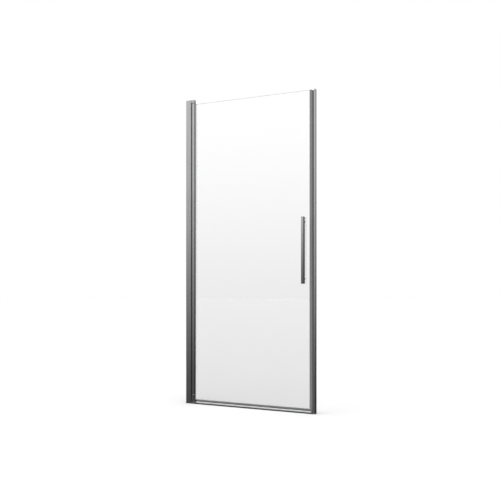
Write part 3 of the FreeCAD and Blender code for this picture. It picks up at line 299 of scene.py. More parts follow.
moulded_grain, enter, leave = new_group(
    "moulded_grain", [("Vector", "vector", None), ("Scale", "value", 1600.0)], [("Height", "value")])
pits = add(moulded_grain, "TexVoronoi", feature="SMOOTH_F1")
soft = add(moulded_grain, "TexNoise", {"Detail": 2.0})
mix = add(moulded_grain, "Mix", {0: SOFT_SHARE}, data_type="FLOAT")
join(moulded_grain, (enter.outputs["Vector"], pits.inputs["Vector"]),
     (enter.outputs["Scale"], pits.inputs["Scale"]),
     (enter.outputs["Vector"], soft.inputs["Vector"]), (enter.outputs["Scale"], soft.inputs["Scale"]),
     (pits.outputs["Distance"], mix.inputs[2]), (soft.outputs[0], mix.inputs[3]),
     (mix.outputs[0], leave.inputs["Height"]))

# %% [markdown]
# Own directions: which way a face looks, in the piece's own directions. The flat normal comes in the
# world's directions, so it is turned back. A mask made from it stays with the leaf when the leaf swings
# open.

# %% Group: own directions
own_directions, enter, leave = new_group(
    "own_directions", [], [("X", "value"), ("Y", "value"), ("Z", "value")])
facing = add(own_directions, "NewGeometry")
turned_back = add(own_directions, "VectorTransform",
                  vector_type="NORMAL", convert_from="WORLD", convert_to="OBJECT")
ways = add(own_directions, "SeparateXYZ")
join(own_directions, (facing.outputs["True Normal"], turned_back.inputs[0]),
     (turned_back.outputs[0], ways.inputs[0]), (ways.outputs["X"], leave.inputs["X"]),
     (ways.outputs["Y"], leave.inputs["Y"]), (ways.outputs["Z"], leave.inputs["Z"]))

# %% [markdown]
# Painted shading: the flanks of an upright, the faces that look sideways, get painted shade in their
# colour, and the colour is painted darker or lighter from one end to the other. That end-to-end change
# stands in for the fall of reflected light from top to bottom, so both factors are painted light and shade.
# The group multiplies a colour by both.

# %% Group: painted shading
FLANK_FROM, FLANK_FULL = 0.5, 0.9  # how squarely a face must look sideways to count as a flank

painted_shading, enter, leave = new_group(
    "painted_shading",
    [("Vector", "vector", None), ("Sideways", "value", 0.0),
     ("Bottom", "value", 0.0), ("Top", "value", 1.0),
     ("Flank", "value", 1.0), ("Lower", "value", 1.0), ("Upper", "value", 1.0), ("Color", "colour", None)],
    [("Color", "colour")])
sideways = add(painted_shading, "Math", operation="ABSOLUTE")
# Painted shade: this factor darkens the faces that look sideways.
flank = add(painted_shading, "MapRange", {1: FLANK_FROM, 2: FLANK_FULL, 3: 1.0}, interpolation_type="SMOOTHSTEP")
heights = add(painted_shading, "SeparateXYZ")
# Painted light and shade: this factor runs from Lower at the bottom of a piece to Upper at its top.
depth = add(painted_shading, "MapRange")
both = add(painted_shading, "Math", operation="MULTIPLY")
toned = add(painted_shading, "VectorMath", operation="SCALE")
join(painted_shading, (enter.outputs["Sideways"], sideways.inputs[0]), (sideways.outputs[0], flank.inputs[0]),
     (enter.outputs["Flank"], flank.inputs[4]), (enter.outputs["Vector"], heights.inputs[0]),
     (heights.outputs["Z"], depth.inputs[0]), (enter.outputs["Bottom"], depth.inputs[1]),
     (enter.outputs["Top"], depth.inputs[2]), (enter.outputs["Lower"], depth.inputs[3]),
     (enter.outputs["Upper"], depth.inputs[4]),
     (flank.outputs[0], both.inputs[0]), (depth.outputs[0], both.inputs[1]),
     (enter.outputs["Color"], toned.inputs[0]), (both.outputs[0], toned.inputs["Scale"]),
     (toned.outputs[0], leave.inputs["Color"]))
print(len(bpy.data.node_groups), "shared groups")

# %% [markdown]
# ## Finishes
# Every finish starts the same way: Object coordinates, which on these parts are simply metres in the door's
# frame, the soft-edge group for the normal, and a tone that drifts a little. The helper sets that up.

# %% Material helpers
def use(tree, group, **values):
    """Places a shared group in a material."""
    node = tree.nodes.new("ShaderNodeGroup")
    node.node_tree = group
    for name, value in values.items():
        node.inputs[name].default_value = value
    return node


def start(name, tone, drift, edge_radius, **shader_values):
    """A material with a drifting colour and soft edges, its tree, and the nodes that others build on."""
    material = bpy.data.materials.new(name)
    material.use_nodes = True
    tree = material.node_tree
    shader = tree.nodes["Principled BSDF"]
    for title, value in shader_values.items():
        shader.inputs[title.replace("_", " ")].default_value = value
    places = add(tree, "TexCoord").outputs["Object"]
    colour = use(tree, tone_drift, Amount=drift, Color=(*tone, 1))
    edges = use(tree, soft_edges, Radius=edge_radius)
    join(tree, (places, colour.inputs["Vector"]))
    print("finish", name)
    return material, tree, shader, places, colour, edges


def bumped(tree, shader, edges, height, strength, distance):
    """Bump from a height, on top of the soft-edge normal."""
    bump = add(tree, "Bump", {"Strength": strength, "Distance": distance})
    join(tree, (height, bump.inputs["Height"]), (edges.outputs["Normal"], bump.inputs["Normal"]),
         (bump.outputs[0], shader.inputs["Normal"]))


def rubbed(tree, shader, tone, edges, bare, share):
    """Base colour that turns towards a bare tone along the edges."""
    wear = add(tree, "Math", {1: share}, operation="MULTIPLY")
    worn = add(tree, "Mix", {7: (*bare, 1)}, data_type="RGBA")
    join(tree, (edges.outputs["Edge"], wear.inputs[0]), (wear.outputs[0], worn.inputs[0]),
         (tone, worn.inputs[6]), (worn.outputs[2], shader.inputs["Base Color"]))


def paler(tone, times):
    """A tone made paler, white at most."""
    return tuple(min(1, channel * times) for channel in tone)


def between(tree, value, low, high, socket):
    """Sends a 0 to 1 value to a socket, spread from low to high."""
    spread = add(tree, "MapRange", {3: low, 4: high})
    join(tree, (value, spread.inputs[0]), (spread.outputs[0], socket))


# %% [markdown]
# **Anodised profile.** The visible aluminium is bead blasted, then anodised to a dark gunmetal grey. It
# keeps the faint lines of the extrusion along its length, so the lines run up an upright and along a rail.
# A metal's colour is its mirror strength: this one gives back about a fifth of the studio.

# %% Anodised profile
METAL_TONE = (0.19, 0.19, 0.19)
METAL_EDGE = (0.42, 0.42, 0.42)  # where the dye is rubbed thin
# The rail's tone is a lighter copy of the metal tone: painted light for the brighter reflection on its
# front.
RAIL_PAINTED_LIGHT = (0.55, 0.55, 0.55)
SILL_TONE = (0.155, 0.155, 0.155)
METAL_DRIFT = 0.035
METAL_EDGE_RADIUS = 0.0005
METAL_WEAR = 0.15  # how far a full edge turns to its bare tone
LINE_CONTRAST = 0.10  # of the tone, between the drawn lines and the metal beside them
LINE_LOW, LINE_HIGH = 0.35, 0.65  # heights of the lines between which that contrast lies
LINE_SCALE = 1100.0
LINE_DEPTH = 0.00001
LINE_STRENGTH = 0.10  # of the bump that the lines give
MARK_SCALE = 14.0


def anodised(name, stretch, tone=METAL_TONE, roughness=(0.19, 0.23)):
    """Metal with drawn lines; the stretch is small along them, and the roughness grows with handling."""
    material, tree, shader, places, colour, edges = start(
        name, tone, METAL_DRIFT, METAL_EDGE_RADIUS, Metallic=1.0)
    along = add(tree, "Mapping", {"Scale": stretch})
    lines = use(tree, drawn_lines, Scale=LINE_SCALE)
    marks = use(tree, handling_marks, Scale=MARK_SCALE)
    depth = add(tree, "MapRange", {1: LINE_LOW, 2: LINE_HIGH, 3: 1 - LINE_CONTRAST, 4: 1 + LINE_CONTRAST})
    lined = add(tree, "VectorMath", operation="SCALE")
    join(tree, (places, along.inputs[0]), (along.outputs[0], lines.inputs["Vector"]),
         (places, marks.inputs["Vector"]), (lines.outputs["Height"], depth.inputs[0]),
         (colour.outputs["Color"], lined.inputs[0]), (depth.outputs[0], lined.inputs["Scale"]))
    bumped(tree, shader, edges, lines.outputs["Height"], LINE_STRENGTH, LINE_DEPTH)
    rubbed(tree, shader, lined.outputs[0], edges, METAL_EDGE, METAL_WEAR)
    between(tree, marks.outputs["Mask"], *roughness, shader.inputs["Roughness"])
    return material


UPRIGHT, LEVEL = (1, 1, 0.015), (0.015, 1, 1)  # lines along Z, lines along X
profile_upright = anodised("anodised_upright", UPRIGHT)
profile_level = anodised("anodised_level", LEVEL)
turned_metal = anodised("anodised_turned", stretch=(1, 0.05, 1))
# The rail is the same anodised metal in a lighter tone, which is painted light.
rail_metal = anodised("anodised_rail_painted_light", LEVEL, tone=RAIL_PAINTED_LIGHT)
sill_metal = anodised("anodised_sill", LEVEL, tone=SILL_TONE)

# %% [markdown]
# ** Uprights with painted shade.** The handle, the stile and the strike side are the same aluminium, with
# painted light and shade multiplied into the colour. The bar's flanks are painted darker, as shade, and its
# colour is painted darker towards its lower end and lighter at its top, a painted fall of reflected light.
# The stile's flanks are painted darker too. The strike side is painted a little lighter at its foot.

# %% Uprights with painted shade
def painted_shade_upright(name, node, flank, lower, upper):
    """Upright metal whose tone is multiplied by painted shade on its flanks and by painted light and shade
    from the bottom to the top of a node.
    """
    material = anodised(name, UPRIGHT)
    tree = material.node_tree
    base_colour = tree.nodes["Principled BSDF"].inputs["Base Color"]
    bottom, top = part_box(node)
    # Painted light and shade: the colour is multiplied by a flank factor and by a bottom-to-top factor.
    painted_shade = use(tree, painted_shading, Bottom=bottom[2], Top=top[2], Flank=flank, Lower=lower, Upper=upper)
    join(tree, (add(tree, "TexCoord").outputs["Object"], painted_shade.inputs["Vector"]),
         (use(tree, own_directions).outputs["X"], painted_shade.inputs["Sideways"]),
         (base_colour.links[0].from_socket, painted_shade.inputs["Color"]), (painted_shade.outputs["Color"], base_colour))
    return material


# Handle: flanks painted darker as shade; colour painted darker at the lower end and lighter at the top, a
# painted fall of reflected light.
handle_metal = painted_shade_upright("anodised_handle_painted_shade", "handle_grip", flank=0.45, lower=0.46, upper=1.36)
# Stile: flanks painted darker, as painted shade.
stile_metal = painted_shade_upright("anodised_stile_painted_shade", "pivot_stile", flank=0.70, lower=1.0, upper=1.0)
# Strike side: painted light, a colour a little lighter towards its foot.
strike_metal = painted_shade_upright("anodised_strike_painted_light", "strike_wall_angle", flank=1.0, lower=1.28, upper=1.0)

# %% [markdown]
# **Moulded caps.** End caps are nylon, coloured to go with the profiles, with a fine matt grain. Plastic is
# not metal, so it would read too dark beside the anodising, and a soft gloss brings it level. The bushes
# and the thrust washer are a dark bearing nylon, smoother and with a coarser grain.

# %% Moulded cap plastic
PLASTIC_WEAR = 0.5  # how far a full edge turns to its rubbed tone
PLASTIC_EDGE_RADIUS = 0.0004
PLASTIC_DRIFT = 0.05
PLASTIC_RUBBED = 1.6  # the rubbed tone over the tone
PLASTIC_MARK_SCALE = 25.0
FINE_GRAIN, COARSE_GRAIN = 1600.0, 700.0
PIT_STRENGTH, PIT_DEPTH = 0.5, 0.00006


def moulded(name, tone, roughness, grain=FINE_GRAIN):
    """Moulded plastic; its edges are rubbed paler."""
    material, tree, shader, places, colour, edges = start(name, tone, PLASTIC_DRIFT, PLASTIC_EDGE_RADIUS)
    pits = use(tree, moulded_grain, Scale=grain)
    marks = use(tree, handling_marks, Scale=PLASTIC_MARK_SCALE)
    join(tree, (places, pits.inputs["Vector"]), (places, marks.inputs["Vector"]))
    bumped(tree, shader, edges, pits.outputs["Height"], PIT_STRENGTH, PIT_DEPTH)
    rubbed(tree, shader, colour.outputs["Color"], edges, paler(tone, PLASTIC_RUBBED), PLASTIC_WEAR)
    between(tree, marks.outputs["Mask"], *roughness, shader.inputs["Roughness"])
    return material


cap_plastic = moulded("moulded_cap", tone=(0.10, 0.10, 0.10), roughness=(0.46, 0.56))
bearing_plastic = moulded(
    "bearing_nylon", tone=(0.05, 0.05, 0.05), roughness=(0.32, 0.42), grain=COARSE_GRAIN)

# %% [markdown]
# ** Closing strips and rubber.** The strips that carry the magnets are soft extruded plastic: matt, with
# lines along their length; the fixed strip is painted darker than the door strip, as painted shade. The
# gaskets are darker and duller still, and the lip in the hinge groove is painted a little lighter than they
# are: painted light against the shade of the groove.

# %% Extruded plastic and rubber
STRIP_DRIFT = 0.06
STRIP_RUBBED = 1.5  # the rubbed tone over the tone
STRIP_LINE_SCALE = 500.0
STRIP_LINE_STRENGTH, STRIP_LINE_DEPTH = 0.4, 0.00008
STRIP_ROUGHNESS = (0.42, 0.58)
GASKET = {"tone": (0.035, 0.035, 0.036), "roughness": (0.6, 0.8)}


def extruded(name, stretch, tone, roughness):
    """Extruded plastic or rubber; the stretch is small along its lines."""
    material, tree, shader, places, colour, edges = start(name, tone, STRIP_DRIFT, PLASTIC_EDGE_RADIUS)
    along = add(tree, "Mapping", {"Scale": stretch})
    lines = use(tree, drawn_lines, Scale=STRIP_LINE_SCALE)
    join(tree, (places, along.inputs[0]), (along.outputs[0], lines.inputs["Vector"]))
    bumped(tree, shader, edges, lines.outputs["Height"], STRIP_LINE_STRENGTH, STRIP_LINE_DEPTH)
    rubbed(tree, shader, colour.outputs["Color"], edges, paler(tone, STRIP_RUBBED), PLASTIC_WEAR)
    between(tree, lines.outputs["Height"], *roughness, shader.inputs["Roughness"])
    return material


door_strip_plastic = extruded("door_strip_plastic", UPRIGHT, (0.105, 0.105, 0.105), STRIP_ROUGHNESS)
# The fixed strip is the same plastic in a darker tone: painted shade.
fixed_strip_painted_shade = extruded("fixed_strip_painted_shade", UPRIGHT, (0.05, 0.05, 0.05), STRIP_ROUGHNESS)
gasket_upright = extruded("gasket_upright", UPRIGHT, **GASKET)
# The lip seal is painted lighter than the gaskets: painted light against the shade of the hinge groove.
lip_rubber_painted_light = extruded("lip_rubber_painted_light", UPRIGHT, tone=(0.09, 0.09, 0.09), roughness=(0.5, 0.7))
gasket_level = extruded("gasket_level", LEVEL, **GASKET)

# %% [markdown]
# ** Clear seal.** The drip seal under the leaf is clear soft plastic, but never as clear as glass. It lies
# in the shade of the rail. It is drawn milky and near white, with only a little transmission: the haze is
# its own, and the near-white tone is also painted light that lifts it out of the rail's shade.

# %% Clear seal
# Near-white tone: partly the seal's milky haze, partly painted light against the shade under the rail.
SEAL_PAINTED_LIGHT_TONE = (0.97, 0.98, 0.98)
SEAL_CLEARNESS = 0.1
SEAL_INDEX = 1.49
SEAL_DRIFT = 0.02
SEAL_EDGE_RADIUS = 0.0003
SEAL_ROUGHNESS = (0.25, 0.45)
HAZE_SCALE = 350.0
HAZE_STRENGTH, HAZE_DEPTH = 0.3, 0.00006

clear_seal, tree, shader, places, colour, edges = start(
    "clear_seal", SEAL_PAINTED_LIGHT_TONE, SEAL_DRIFT, SEAL_EDGE_RADIUS,
    Transmission_Weight=SEAL_CLEARNESS, IOR=SEAL_INDEX)
along = add(tree, "Mapping", {"Scale": LEVEL})
haze = use(tree, drawn_lines, Scale=HAZE_SCALE)
join(tree, (places, along.inputs[0]), (along.outputs[0], haze.inputs["Vector"]),
     (colour.outputs["Color"], shader.inputs["Base Color"]))
bumped(tree, shader, edges, haze.outputs["Height"], HAZE_STRENGTH, HAZE_DEPTH)
between(tree, haze.outputs["Height"], *SEAL_ROUGHNESS, shader.inputs["Roughness"])

# %% [markdown]
# **Stainless screws and magnets.** Screws are turned stainless steel, brighter than the profiles. The
# magnet bars are bonded ferrite powder, almost black, and show only at the ends of the strips.

# %% Steel and ferrite
steel = anodised("turned_steel", stretch=(1, 0.04, 1), tone=(0.56, 0.56, 0.55), roughness=(0.20, 0.32))
ferrite = moulded("ferrite_bar", tone=(0.03, 0.03, 0.031), roughness=(0.5, 0.7), grain=2200.0)

# %% [markdown]
# **Safety glass.** Six millimetres of clear toughened glass. Seen square on it is almost not there: its
# surfaces give back a little of the dome, and its body takes away a little light. The ground and polished
# edges look down a long way through the sheet, so they carry the tint; they are found by their normal,
# which doesn't point at either side. Along the top, the ground band that takes the sharpness off the edge
# shows as a fine line. Toughening leaves the faint waves of the furnace rollers, which only bend
# reflections slightly.

# %% Safety glass
GLASS_FACE = (0.83, 0.83, 0.83)
GLASS_EDGE = (0.16, 0.20, 0.18)
EDGE_GRIND = 0.35  # roughness of the edges
GLASS_ARRIS = 0.0015  # height of the ground band along the top edge
GLASS_INDEX = 1.52
GLASS_COAT = 0.45
FILM_HAZE = 0.012  # roughness where wiped water has left its film
FILM_SCALE = 9.0
WAVE_SCALE = 3.0
WAVE_STRETCH = (0.3, 1, 3)  # the rollers' waves run along X
WAVE_STRENGTH, WAVE_DEPTH = 0.12, 0.0004

glass = bpy.data.materials.new("safety_glass")
glass.use_nodes = True
tree = glass.node_tree
shader = tree.nodes["Principled BSDF"]
shader.inputs["Transmission Weight"].default_value = 1.0
shader.inputs["IOR"].default_value = GLASS_INDEX
shader.inputs["Coat Weight"].default_value = GLASS_COAT
places = add(tree, "TexCoord").outputs["Object"]
flatness = add(tree, "Math", operation="ABSOLUTE")
spots = add(tree, "SeparateXYZ")
below_arris = add(tree, "Math", {1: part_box("glass_panel")[1][2] - GLASS_ARRIS}, operation="LESS_THAN")
clear = add(tree, "Math", operation="MULTIPLY")
body = add(tree, "Mix", {6: (*GLASS_EDGE, 1), 7: (*GLASS_FACE, 1)}, data_type="RGBA")
waves = use(tree, drawn_lines, Scale=WAVE_SCALE)
roll = add(tree, "Mapping", {"Scale": WAVE_STRETCH})
bump = add(tree, "Bump", {"Strength": WAVE_STRENGTH, "Distance": WAVE_DEPTH})
film = use(tree, handling_marks, Scale=FILM_SCALE)
join(tree, (use(tree, own_directions).outputs["Y"], flatness.inputs[0]),
     (places, spots.inputs[0]), (spots.outputs["Z"], below_arris.inputs[0]),
     (flatness.outputs[0], clear.inputs[0]), (below_arris.outputs[0], clear.inputs[1]),
     (clear.outputs[0], body.inputs[0]), (body.outputs[2], shader.inputs["Base Color"]),
     (places, roll.inputs[0]), (roll.outputs[0], waves.inputs["Vector"]),
     (waves.outputs["Height"], bump.inputs["Height"]), (bump.outputs[0], shader.inputs["Normal"]),
     (places, film.inputs["Vector"]))
grind = add(tree, "Mix", {2: EDGE_GRIND}, data_type="FLOAT")
join(tree, (clear.outputs[0], grind.inputs[0]), (grind.outputs[0], shader.inputs["Roughness"]))
between(tree, film.outputs["Mask"], 0.0, FILM_HAZE, grind.inputs[3])
print("the tint runs round the edges and", GLASS_ARRIS, "m down from the top")

# %% [markdown]
# ## Dressing the nodes
# Each node of the frame keeps its mesh and gets its finish. The table reads like the parts list: which
# pieces are made of what. Light passes the clear sheet on its way to the floor, so the glass casts no
# shadow of its own.

# %% Assign the finishes
WEARS = {
    profile_upright: ["hinge_wall_channel", "hinge_post"],
    strike_metal: ["strike_wall_angle", "strike_profile"],
    stile_metal: ["pivot_stile"],
    handle_metal: ["handle_grip"],
    sill_metal: ["sill"],
    profile_level: ["top_pivot_block", "bottom_pivot_block"],
    rail_metal: ["bottom_rail"],
    turned_metal: ["inner_discs"],
    cap_plastic: ["stile_cap_bottom", "stile_cap_top", "rail_cap_hinge", "rail_cap_strike",
                  "strike_profile_cap", "sill_end_hinge", "sill_end_strike",
                  "handle_cap_bottom", "handle_cap_top"],
    door_strip_plastic: ["door_strip"],
    fixed_strip_painted_shade: ["fixed_strip"],
    ferrite: ["door_magnet", "fixed_magnet"],
    steel: ["bottom_pivot_pin", "top_pivot_pin", "top_block_screws", "bottom_block_screws",
            "stile_cap_screws", "hinge_fixing_screws", "hinge_fixing_washers",
            "strike_fixing_screws", "strike_fixing_washers", "handle_screws"],
    bearing_plastic: ["bottom_pivot_bush", "top_pivot_bush", "thrust_washer"],
    clear_seal: ["bottom_seal", "handle_sleeves"],
    lip_rubber_painted_light: ["hinge_lip_seal"],
    gasket_upright: ["glazing_gasket", "handle_pad", "inner_disc_pads"],
    gasket_level: ["rail_gasket"],
    glass: ["glass_panel"],
}
for finish, names in WEARS.items():
    for name in names:
        mesh = nodes[name].data
        mesh.materials.clear()
        mesh.materials.append(finish)
for ray_kind in ("visible_shadow", "visible_diffuse", "visible_glossy"):
    setattr(nodes["glass_panel"], ray_kind, False)
bare = sorted(set(nodes) - {name for names in WEARS.values() for name in names})
print(len(WEARS), "finishes; nodes without one:", bare)

# %% [markdown]
# ## Modelling helpers
# The small pieces are drawn the way a turner or a die maker would: by their section. A plane is merged into
# one point, and the point is extruded from place to place, which leaves a chain of edges. Spun round the Z
# axis the chain is a turned part, and closed and extruded it is a length of profile. Typing vertices into a
# mesh would be shorter, but the operators leave clean quads in even rings and are the same steps as in the
# edit window.

# %% Section helpers
MERGE = 0.000002
SMOOTH_BELOW = math.radians(35)  # sharper edges than this stay sharp
ROUND_STEPS = 48  # faces round a turned part


def trace(name, points):
    """A chain of edges through the points, left in edit mode."""
    bpy.ops.object.select_all(action="DESELECT")
    bpy.ops.mesh.primitive_plane_add(size=0.001)
    piece = bpy.context.object
    piece.name = piece.data.name = name
    bpy.ops.object.mode_set(mode="EDIT")
    bpy.ops.mesh.merge(type="CENTER")
    bpy.ops.transform.translate(value=points[0])
    for before, after in zip(points, points[1:]):
        bpy.ops.mesh.extrude_region_move(TRANSFORM_OT_translate={"value": Vector(after) - Vector(before)})
    return piece


def close_up():
    """Merges doubles, turns the faces outwards, leaves edit mode and smooths all but the sharp edges."""
    bpy.ops.mesh.select_all(action="SELECT")
    bpy.ops.mesh.remove_doubles(threshold=MERGE)
    bpy.ops.mesh.normals_make_consistent(inside=False)
    bpy.ops.object.mode_set(mode="OBJECT")
    bpy.ops.object.shade_smooth_by_angle(angle=SMOOTH_BELOW)


def turned(name, outline, steps=ROUND_STEPS):
    """A turned part from (radius, height) points."""
    piece = trace(name, [(radius, 0, height) for radius, height in outline])
    bpy.ops.mesh.select_all(action="SELECT")
    bpy.ops.mesh.spin(steps=steps, angle=2 * math.pi, center=(0, 0, 0), axis=(0, 0, 1))
    close_up()
    return piece


def length_of_profile(name, section, left, right):
    """A section of (y, z) points, closed and extruded along X."""
    closed = section + section[:1]
    piece = trace(name, [(left, y, z) for y, z in closed])
    bpy.ops.mesh.select_all(action="SELECT")
    bpy.ops.mesh.remove_doubles(threshold=MERGE)
    bpy.ops.mesh.edge_face_add()
    bpy.ops.mesh.extrude_region_move(TRANSFORM_OT_translate={"value": (right - left, 0, 0)})
    close_up()
    return piece


def quarter(centre, radius, start, end, steps=5):
    """Points on an arc, in degrees."""
    angles = [math.radians(start + (end - start) * index / steps) for index in range(steps + 1)]
    return [(centre[0] + radius * math.cos(angle), centre[1] + radius * math.sin(angle))
            for angle in angles]


# %% [markdown]
# What repeats is modelled once, at the origin with its axis upright. Each copy gets its own mesh, is turned
# and moved to its place, and the placement is applied, so the place is in the mesh. The copies of one node
# are joined, because the frame holds them as one node.

# %% Copies in place
TOWARDS = {"+Z": (0, 0, 0), "-Z": (math.pi, 0, 0), "+Y": (-math.pi / 2, 0, 0), "-X": (0, -math.pi / 2, 0)}


def copies(model, node, body, finish, places, towards):
    """Copies of a model at the places, standing for a node of the frame."""
    made = []
    for place in places:
        bpy.ops.object.select_all(action="DESELECT")
        model.select_set(True)
        bpy.context.view_layer.objects.active = model
        bpy.ops.object.duplicate()
        copy = bpy.context.object
        copy.rotation_euler = TOWARDS[towards]
        copy.location = place
        bpy.ops.object.transform_apply(location=True, rotation=True, scale=True)
        made.append(copy)
    for copy in made:
        copy.select_set(True)
    bpy.ops.object.join()
    bpy.data.objects.remove(model)
    return stand_for(bpy.context.object, node, body, finish)


def stand_for(piece, node, body, finish):
    """Names a piece after its node, dresses it and lets it ride on the node's body."""
    piece.name = piece.data.name = node + "_detailed"
    piece.data.materials.clear()
    piece.data.materials.append(finish)
    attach(piece, body)
    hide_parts(node)
    print(piece.name, len(piece.data.polygons), "faces")
    return piece


def evenly(first, last, count):
    """Numbers from first to last, equal steps apart."""
    return [first + (last - first) * index / (count - 1) for index in range(count)]


# %% [markdown]
# ## Socket screws
# A socket screw is turned: head with a rounded rim, a small fillet under it, a threaded shank with a
# bevelled tip. The thread is drawn as rings a pitch apart, which is what shows of it in a cut or through a
# slot. The hexagon is then broached: a six-sided cutter with a cone at its end, and a wider cone that
# bevels the mouth, are taken away with a Boolean. Bevelling the hexagon's edges afterwards would give the
# same rim with more trouble.

# %% Socket screw
RIM_SHARE = 0.3  # radius of a rounded rim over the height of what it rounds
SOCKET_SHARE = 0.55  # corner radius of the hexagon over the head's radius
SOCKET_DEPTH = 0.62  # of the head's height
SOCKET_POINT = 0.3  # depth of the drilled point over the hexagon's radius
MOUTH_BEVEL = 0.0002
PITCH = 0.0007
THREAD_DEPTH = 0.00025
TIP_BEVEL = 0.0006
DOWNWARDS = -0.9  # faces whose normals point further down than this are the underside


def cut_away(piece, cutter):
    """Takes a cutter's shape out of a piece for good."""
    bpy.ops.object.select_all(action="DESELECT")
    piece.select_set(True)
    bpy.context.view_layer.objects.active = piece
    cut = piece.modifiers.new("broach", "BOOLEAN")
    cut.operation = "DIFFERENCE"
    cut.solver = "EXACT"
    cut.object = cutter
    bpy.ops.object.modifier_apply(modifier=cut.name)
    bpy.data.objects.remove(cutter)


def socket_screw(head_radius, head_height, shank_radius, shank_length):
    """A screw along +Z whose head stands on z = 0."""
    rim = head_height * RIM_SHARE
    thread_top = -PITCH * 1.5  # a plain neck under the head
    turns = int((shank_length + thread_top - TIP_BEVEL) / PITCH)
    outline = [(0, -shank_length), (shank_radius - TIP_BEVEL, -shank_length)]
    for turn in range(turns):
        crest = thread_top - PITCH * (turns - turn - 0.5)
        outline += [(shank_radius - THREAD_DEPTH, crest - PITCH / 2), (shank_radius, crest)]
    outline += [(shank_radius - THREAD_DEPTH, thread_top)]
    outline += [(shank_radius, thread_top + THREAD_DEPTH), (shank_radius, 0)]
    outline += [(head_radius - rim / 2, 0), (head_radius, rim / 2)]
    outline += quarter((head_radius - rim, head_height - rim), rim, 0, 90)
    outline += [(0, head_height)]
    screw = turned("socket_screw", outline)
    across = head_radius * SOCKET_SHARE
    depth = head_height * SOCKET_DEPTH
    bpy.ops.object.select_all(action="DESELECT")
    mouth = (0, 0, head_height)
    bpy.ops.mesh.primitive_cylinder_add(vertices=6, radius=across, depth=depth * 2, location=mouth)
    hexagon = bpy.context.object
    bpy.ops.object.mode_set(mode="EDIT")
    shape = bmesh.from_edit_mesh(hexagon.data)
    for face in shape.faces:
        face.select = face.normal.z < DOWNWARDS
    bmesh.update_edit_mesh(hexagon.data)
    bpy.ops.mesh.poke(offset=across * SOCKET_POINT)
    bpy.ops.object.mode_set(mode="OBJECT")
    cut_away(screw, hexagon)
    bpy.ops.object.select_all(action="DESELECT")
    bpy.ops.mesh.primitive_cone_add(
        vertices=ROUND_STEPS, radius1=across - MOUTH_BEVEL, radius2=across + MOUTH_BEVEL * 2,
        depth=MOUTH_BEVEL * 3, location=mouth)
    cut_away(screw, bpy.context.object)
    bpy.ops.object.shade_smooth_by_angle(angle=SMOOTH_BELOW)
    return screw


# %% [markdown]
# The screws' places come from the frame: a node's box runs over all its screws, so the first and last axes
# lie one head radius inside it and the others are spaced evenly between. Head height and shank radius
# follow the thread: 4 mm screws for the profiles and the handle, slimmer ones for the pivot blocks.

# %% Screws of the profiles, blocks and handle
FIXING_HEAD, BLOCK_HEAD, HANDLE_HEAD = 0.0024, 0.0032, 0.0018  # heights of the heads
SHANK_RADIUS, BLOCK_SHANK_RADIUS = 0.0020, 0.0019


def row_of_screws(node, body, count, head_height, shank_radius, towards):
    """Screws whose heads point in a direction, spaced evenly over a node's box; returns their seats."""
    low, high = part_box(node)
    along = {"+Y": 1, "-X": 0, "+Z": 2, "-Z": 2}[towards]
    across = 1 if along == 0 else 0
    spread = 2 if along != 2 else 1
    head_radius = (high[across] - low[across]) / 2
    seat = low[along] + head_height if towards[0] == "-" else high[along] - head_height
    places = []
    for step in evenly(low[spread] + head_radius, high[spread] - head_radius, count):
        place = [0, 0, 0]
        place[along], place[across], place[spread] = seat, low[across] + head_radius, step
        places.append(place)
    shank_length = high[along] - low[along] - head_height
    screw = socket_screw(head_radius, head_height, shank_radius, shank_length)
    copies(screw, node, body, steel, places, towards)
    return places


hinge_screws = row_of_screws("hinge_fixing_screws", "frame", 4, FIXING_HEAD, SHANK_RADIUS, "+Y")
strike_screws = row_of_screws("strike_fixing_screws", "frame", 4, FIXING_HEAD, SHANK_RADIUS, "-X")
row_of_screws("top_block_screws", "frame", 2, BLOCK_HEAD, BLOCK_SHANK_RADIUS, "+Z")
row_of_screws("bottom_block_screws", "frame", 2, BLOCK_HEAD, BLOCK_SHANK_RADIUS, "-Z")
handle_screws = row_of_screws("handle_screws", "door_leaf", 2, HANDLE_HEAD, SHANK_RADIUS, "+Y")

# %% [markdown]
# ## Washers and inner discs
# Both are turned too. A washer is stamped, so one edge is rounded and the other only bevelled. The handle's
# inner discs are faced on a lathe: a rounded rim, a shallow step, and the seat that sinks the screw head.

# %% Washers
WASHER_BORE = 0.00204
SLIDE_GAP = 0.00003  # the washers of the hinge side slide on the channel, so they stand off it by a hair


def row_of_washers(node, screws, towards):
    """A washer under each screw's head."""
    low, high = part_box(node)
    along = 1 if towards == "+Y" else 0
    thick = high[along] - low[along]
    outer = (high[2] - low[2] - (screws[-1][2] - screws[0][2])) / 2
    edge = thick * RIM_SHARE
    outline = [(WASHER_BORE, edge / 2), (WASHER_BORE + edge / 2, SLIDE_GAP),
               (outer - edge / 2, SLIDE_GAP), (outer, edge / 2)]
    outline += quarter((outer - edge, thick - edge), edge, 0, 90, 4)
    outline += [(WASHER_BORE + edge, thick), (WASHER_BORE, thick - edge), (WASHER_BORE, edge / 2)]
    base = low[along] if towards == "+Y" else high[along]
    places = []
    for screw_place in screws:
        place = list(screw_place)
        place[along] = base
        places.append(place)
    copies(turned("washer", outline), node, "frame", steel, places, towards)


row_of_washers("hinge_fixing_washers", hinge_screws, "+Y")
row_of_washers("strike_fixing_washers", strike_screws, "-X")

# %% Inner discs
DISC_STEP = 0.0003
DISC_SEAT_GAP = 0.00025  # between the screw's head and the side of its seat
DISC_STEPS = 64  # faces round a disc

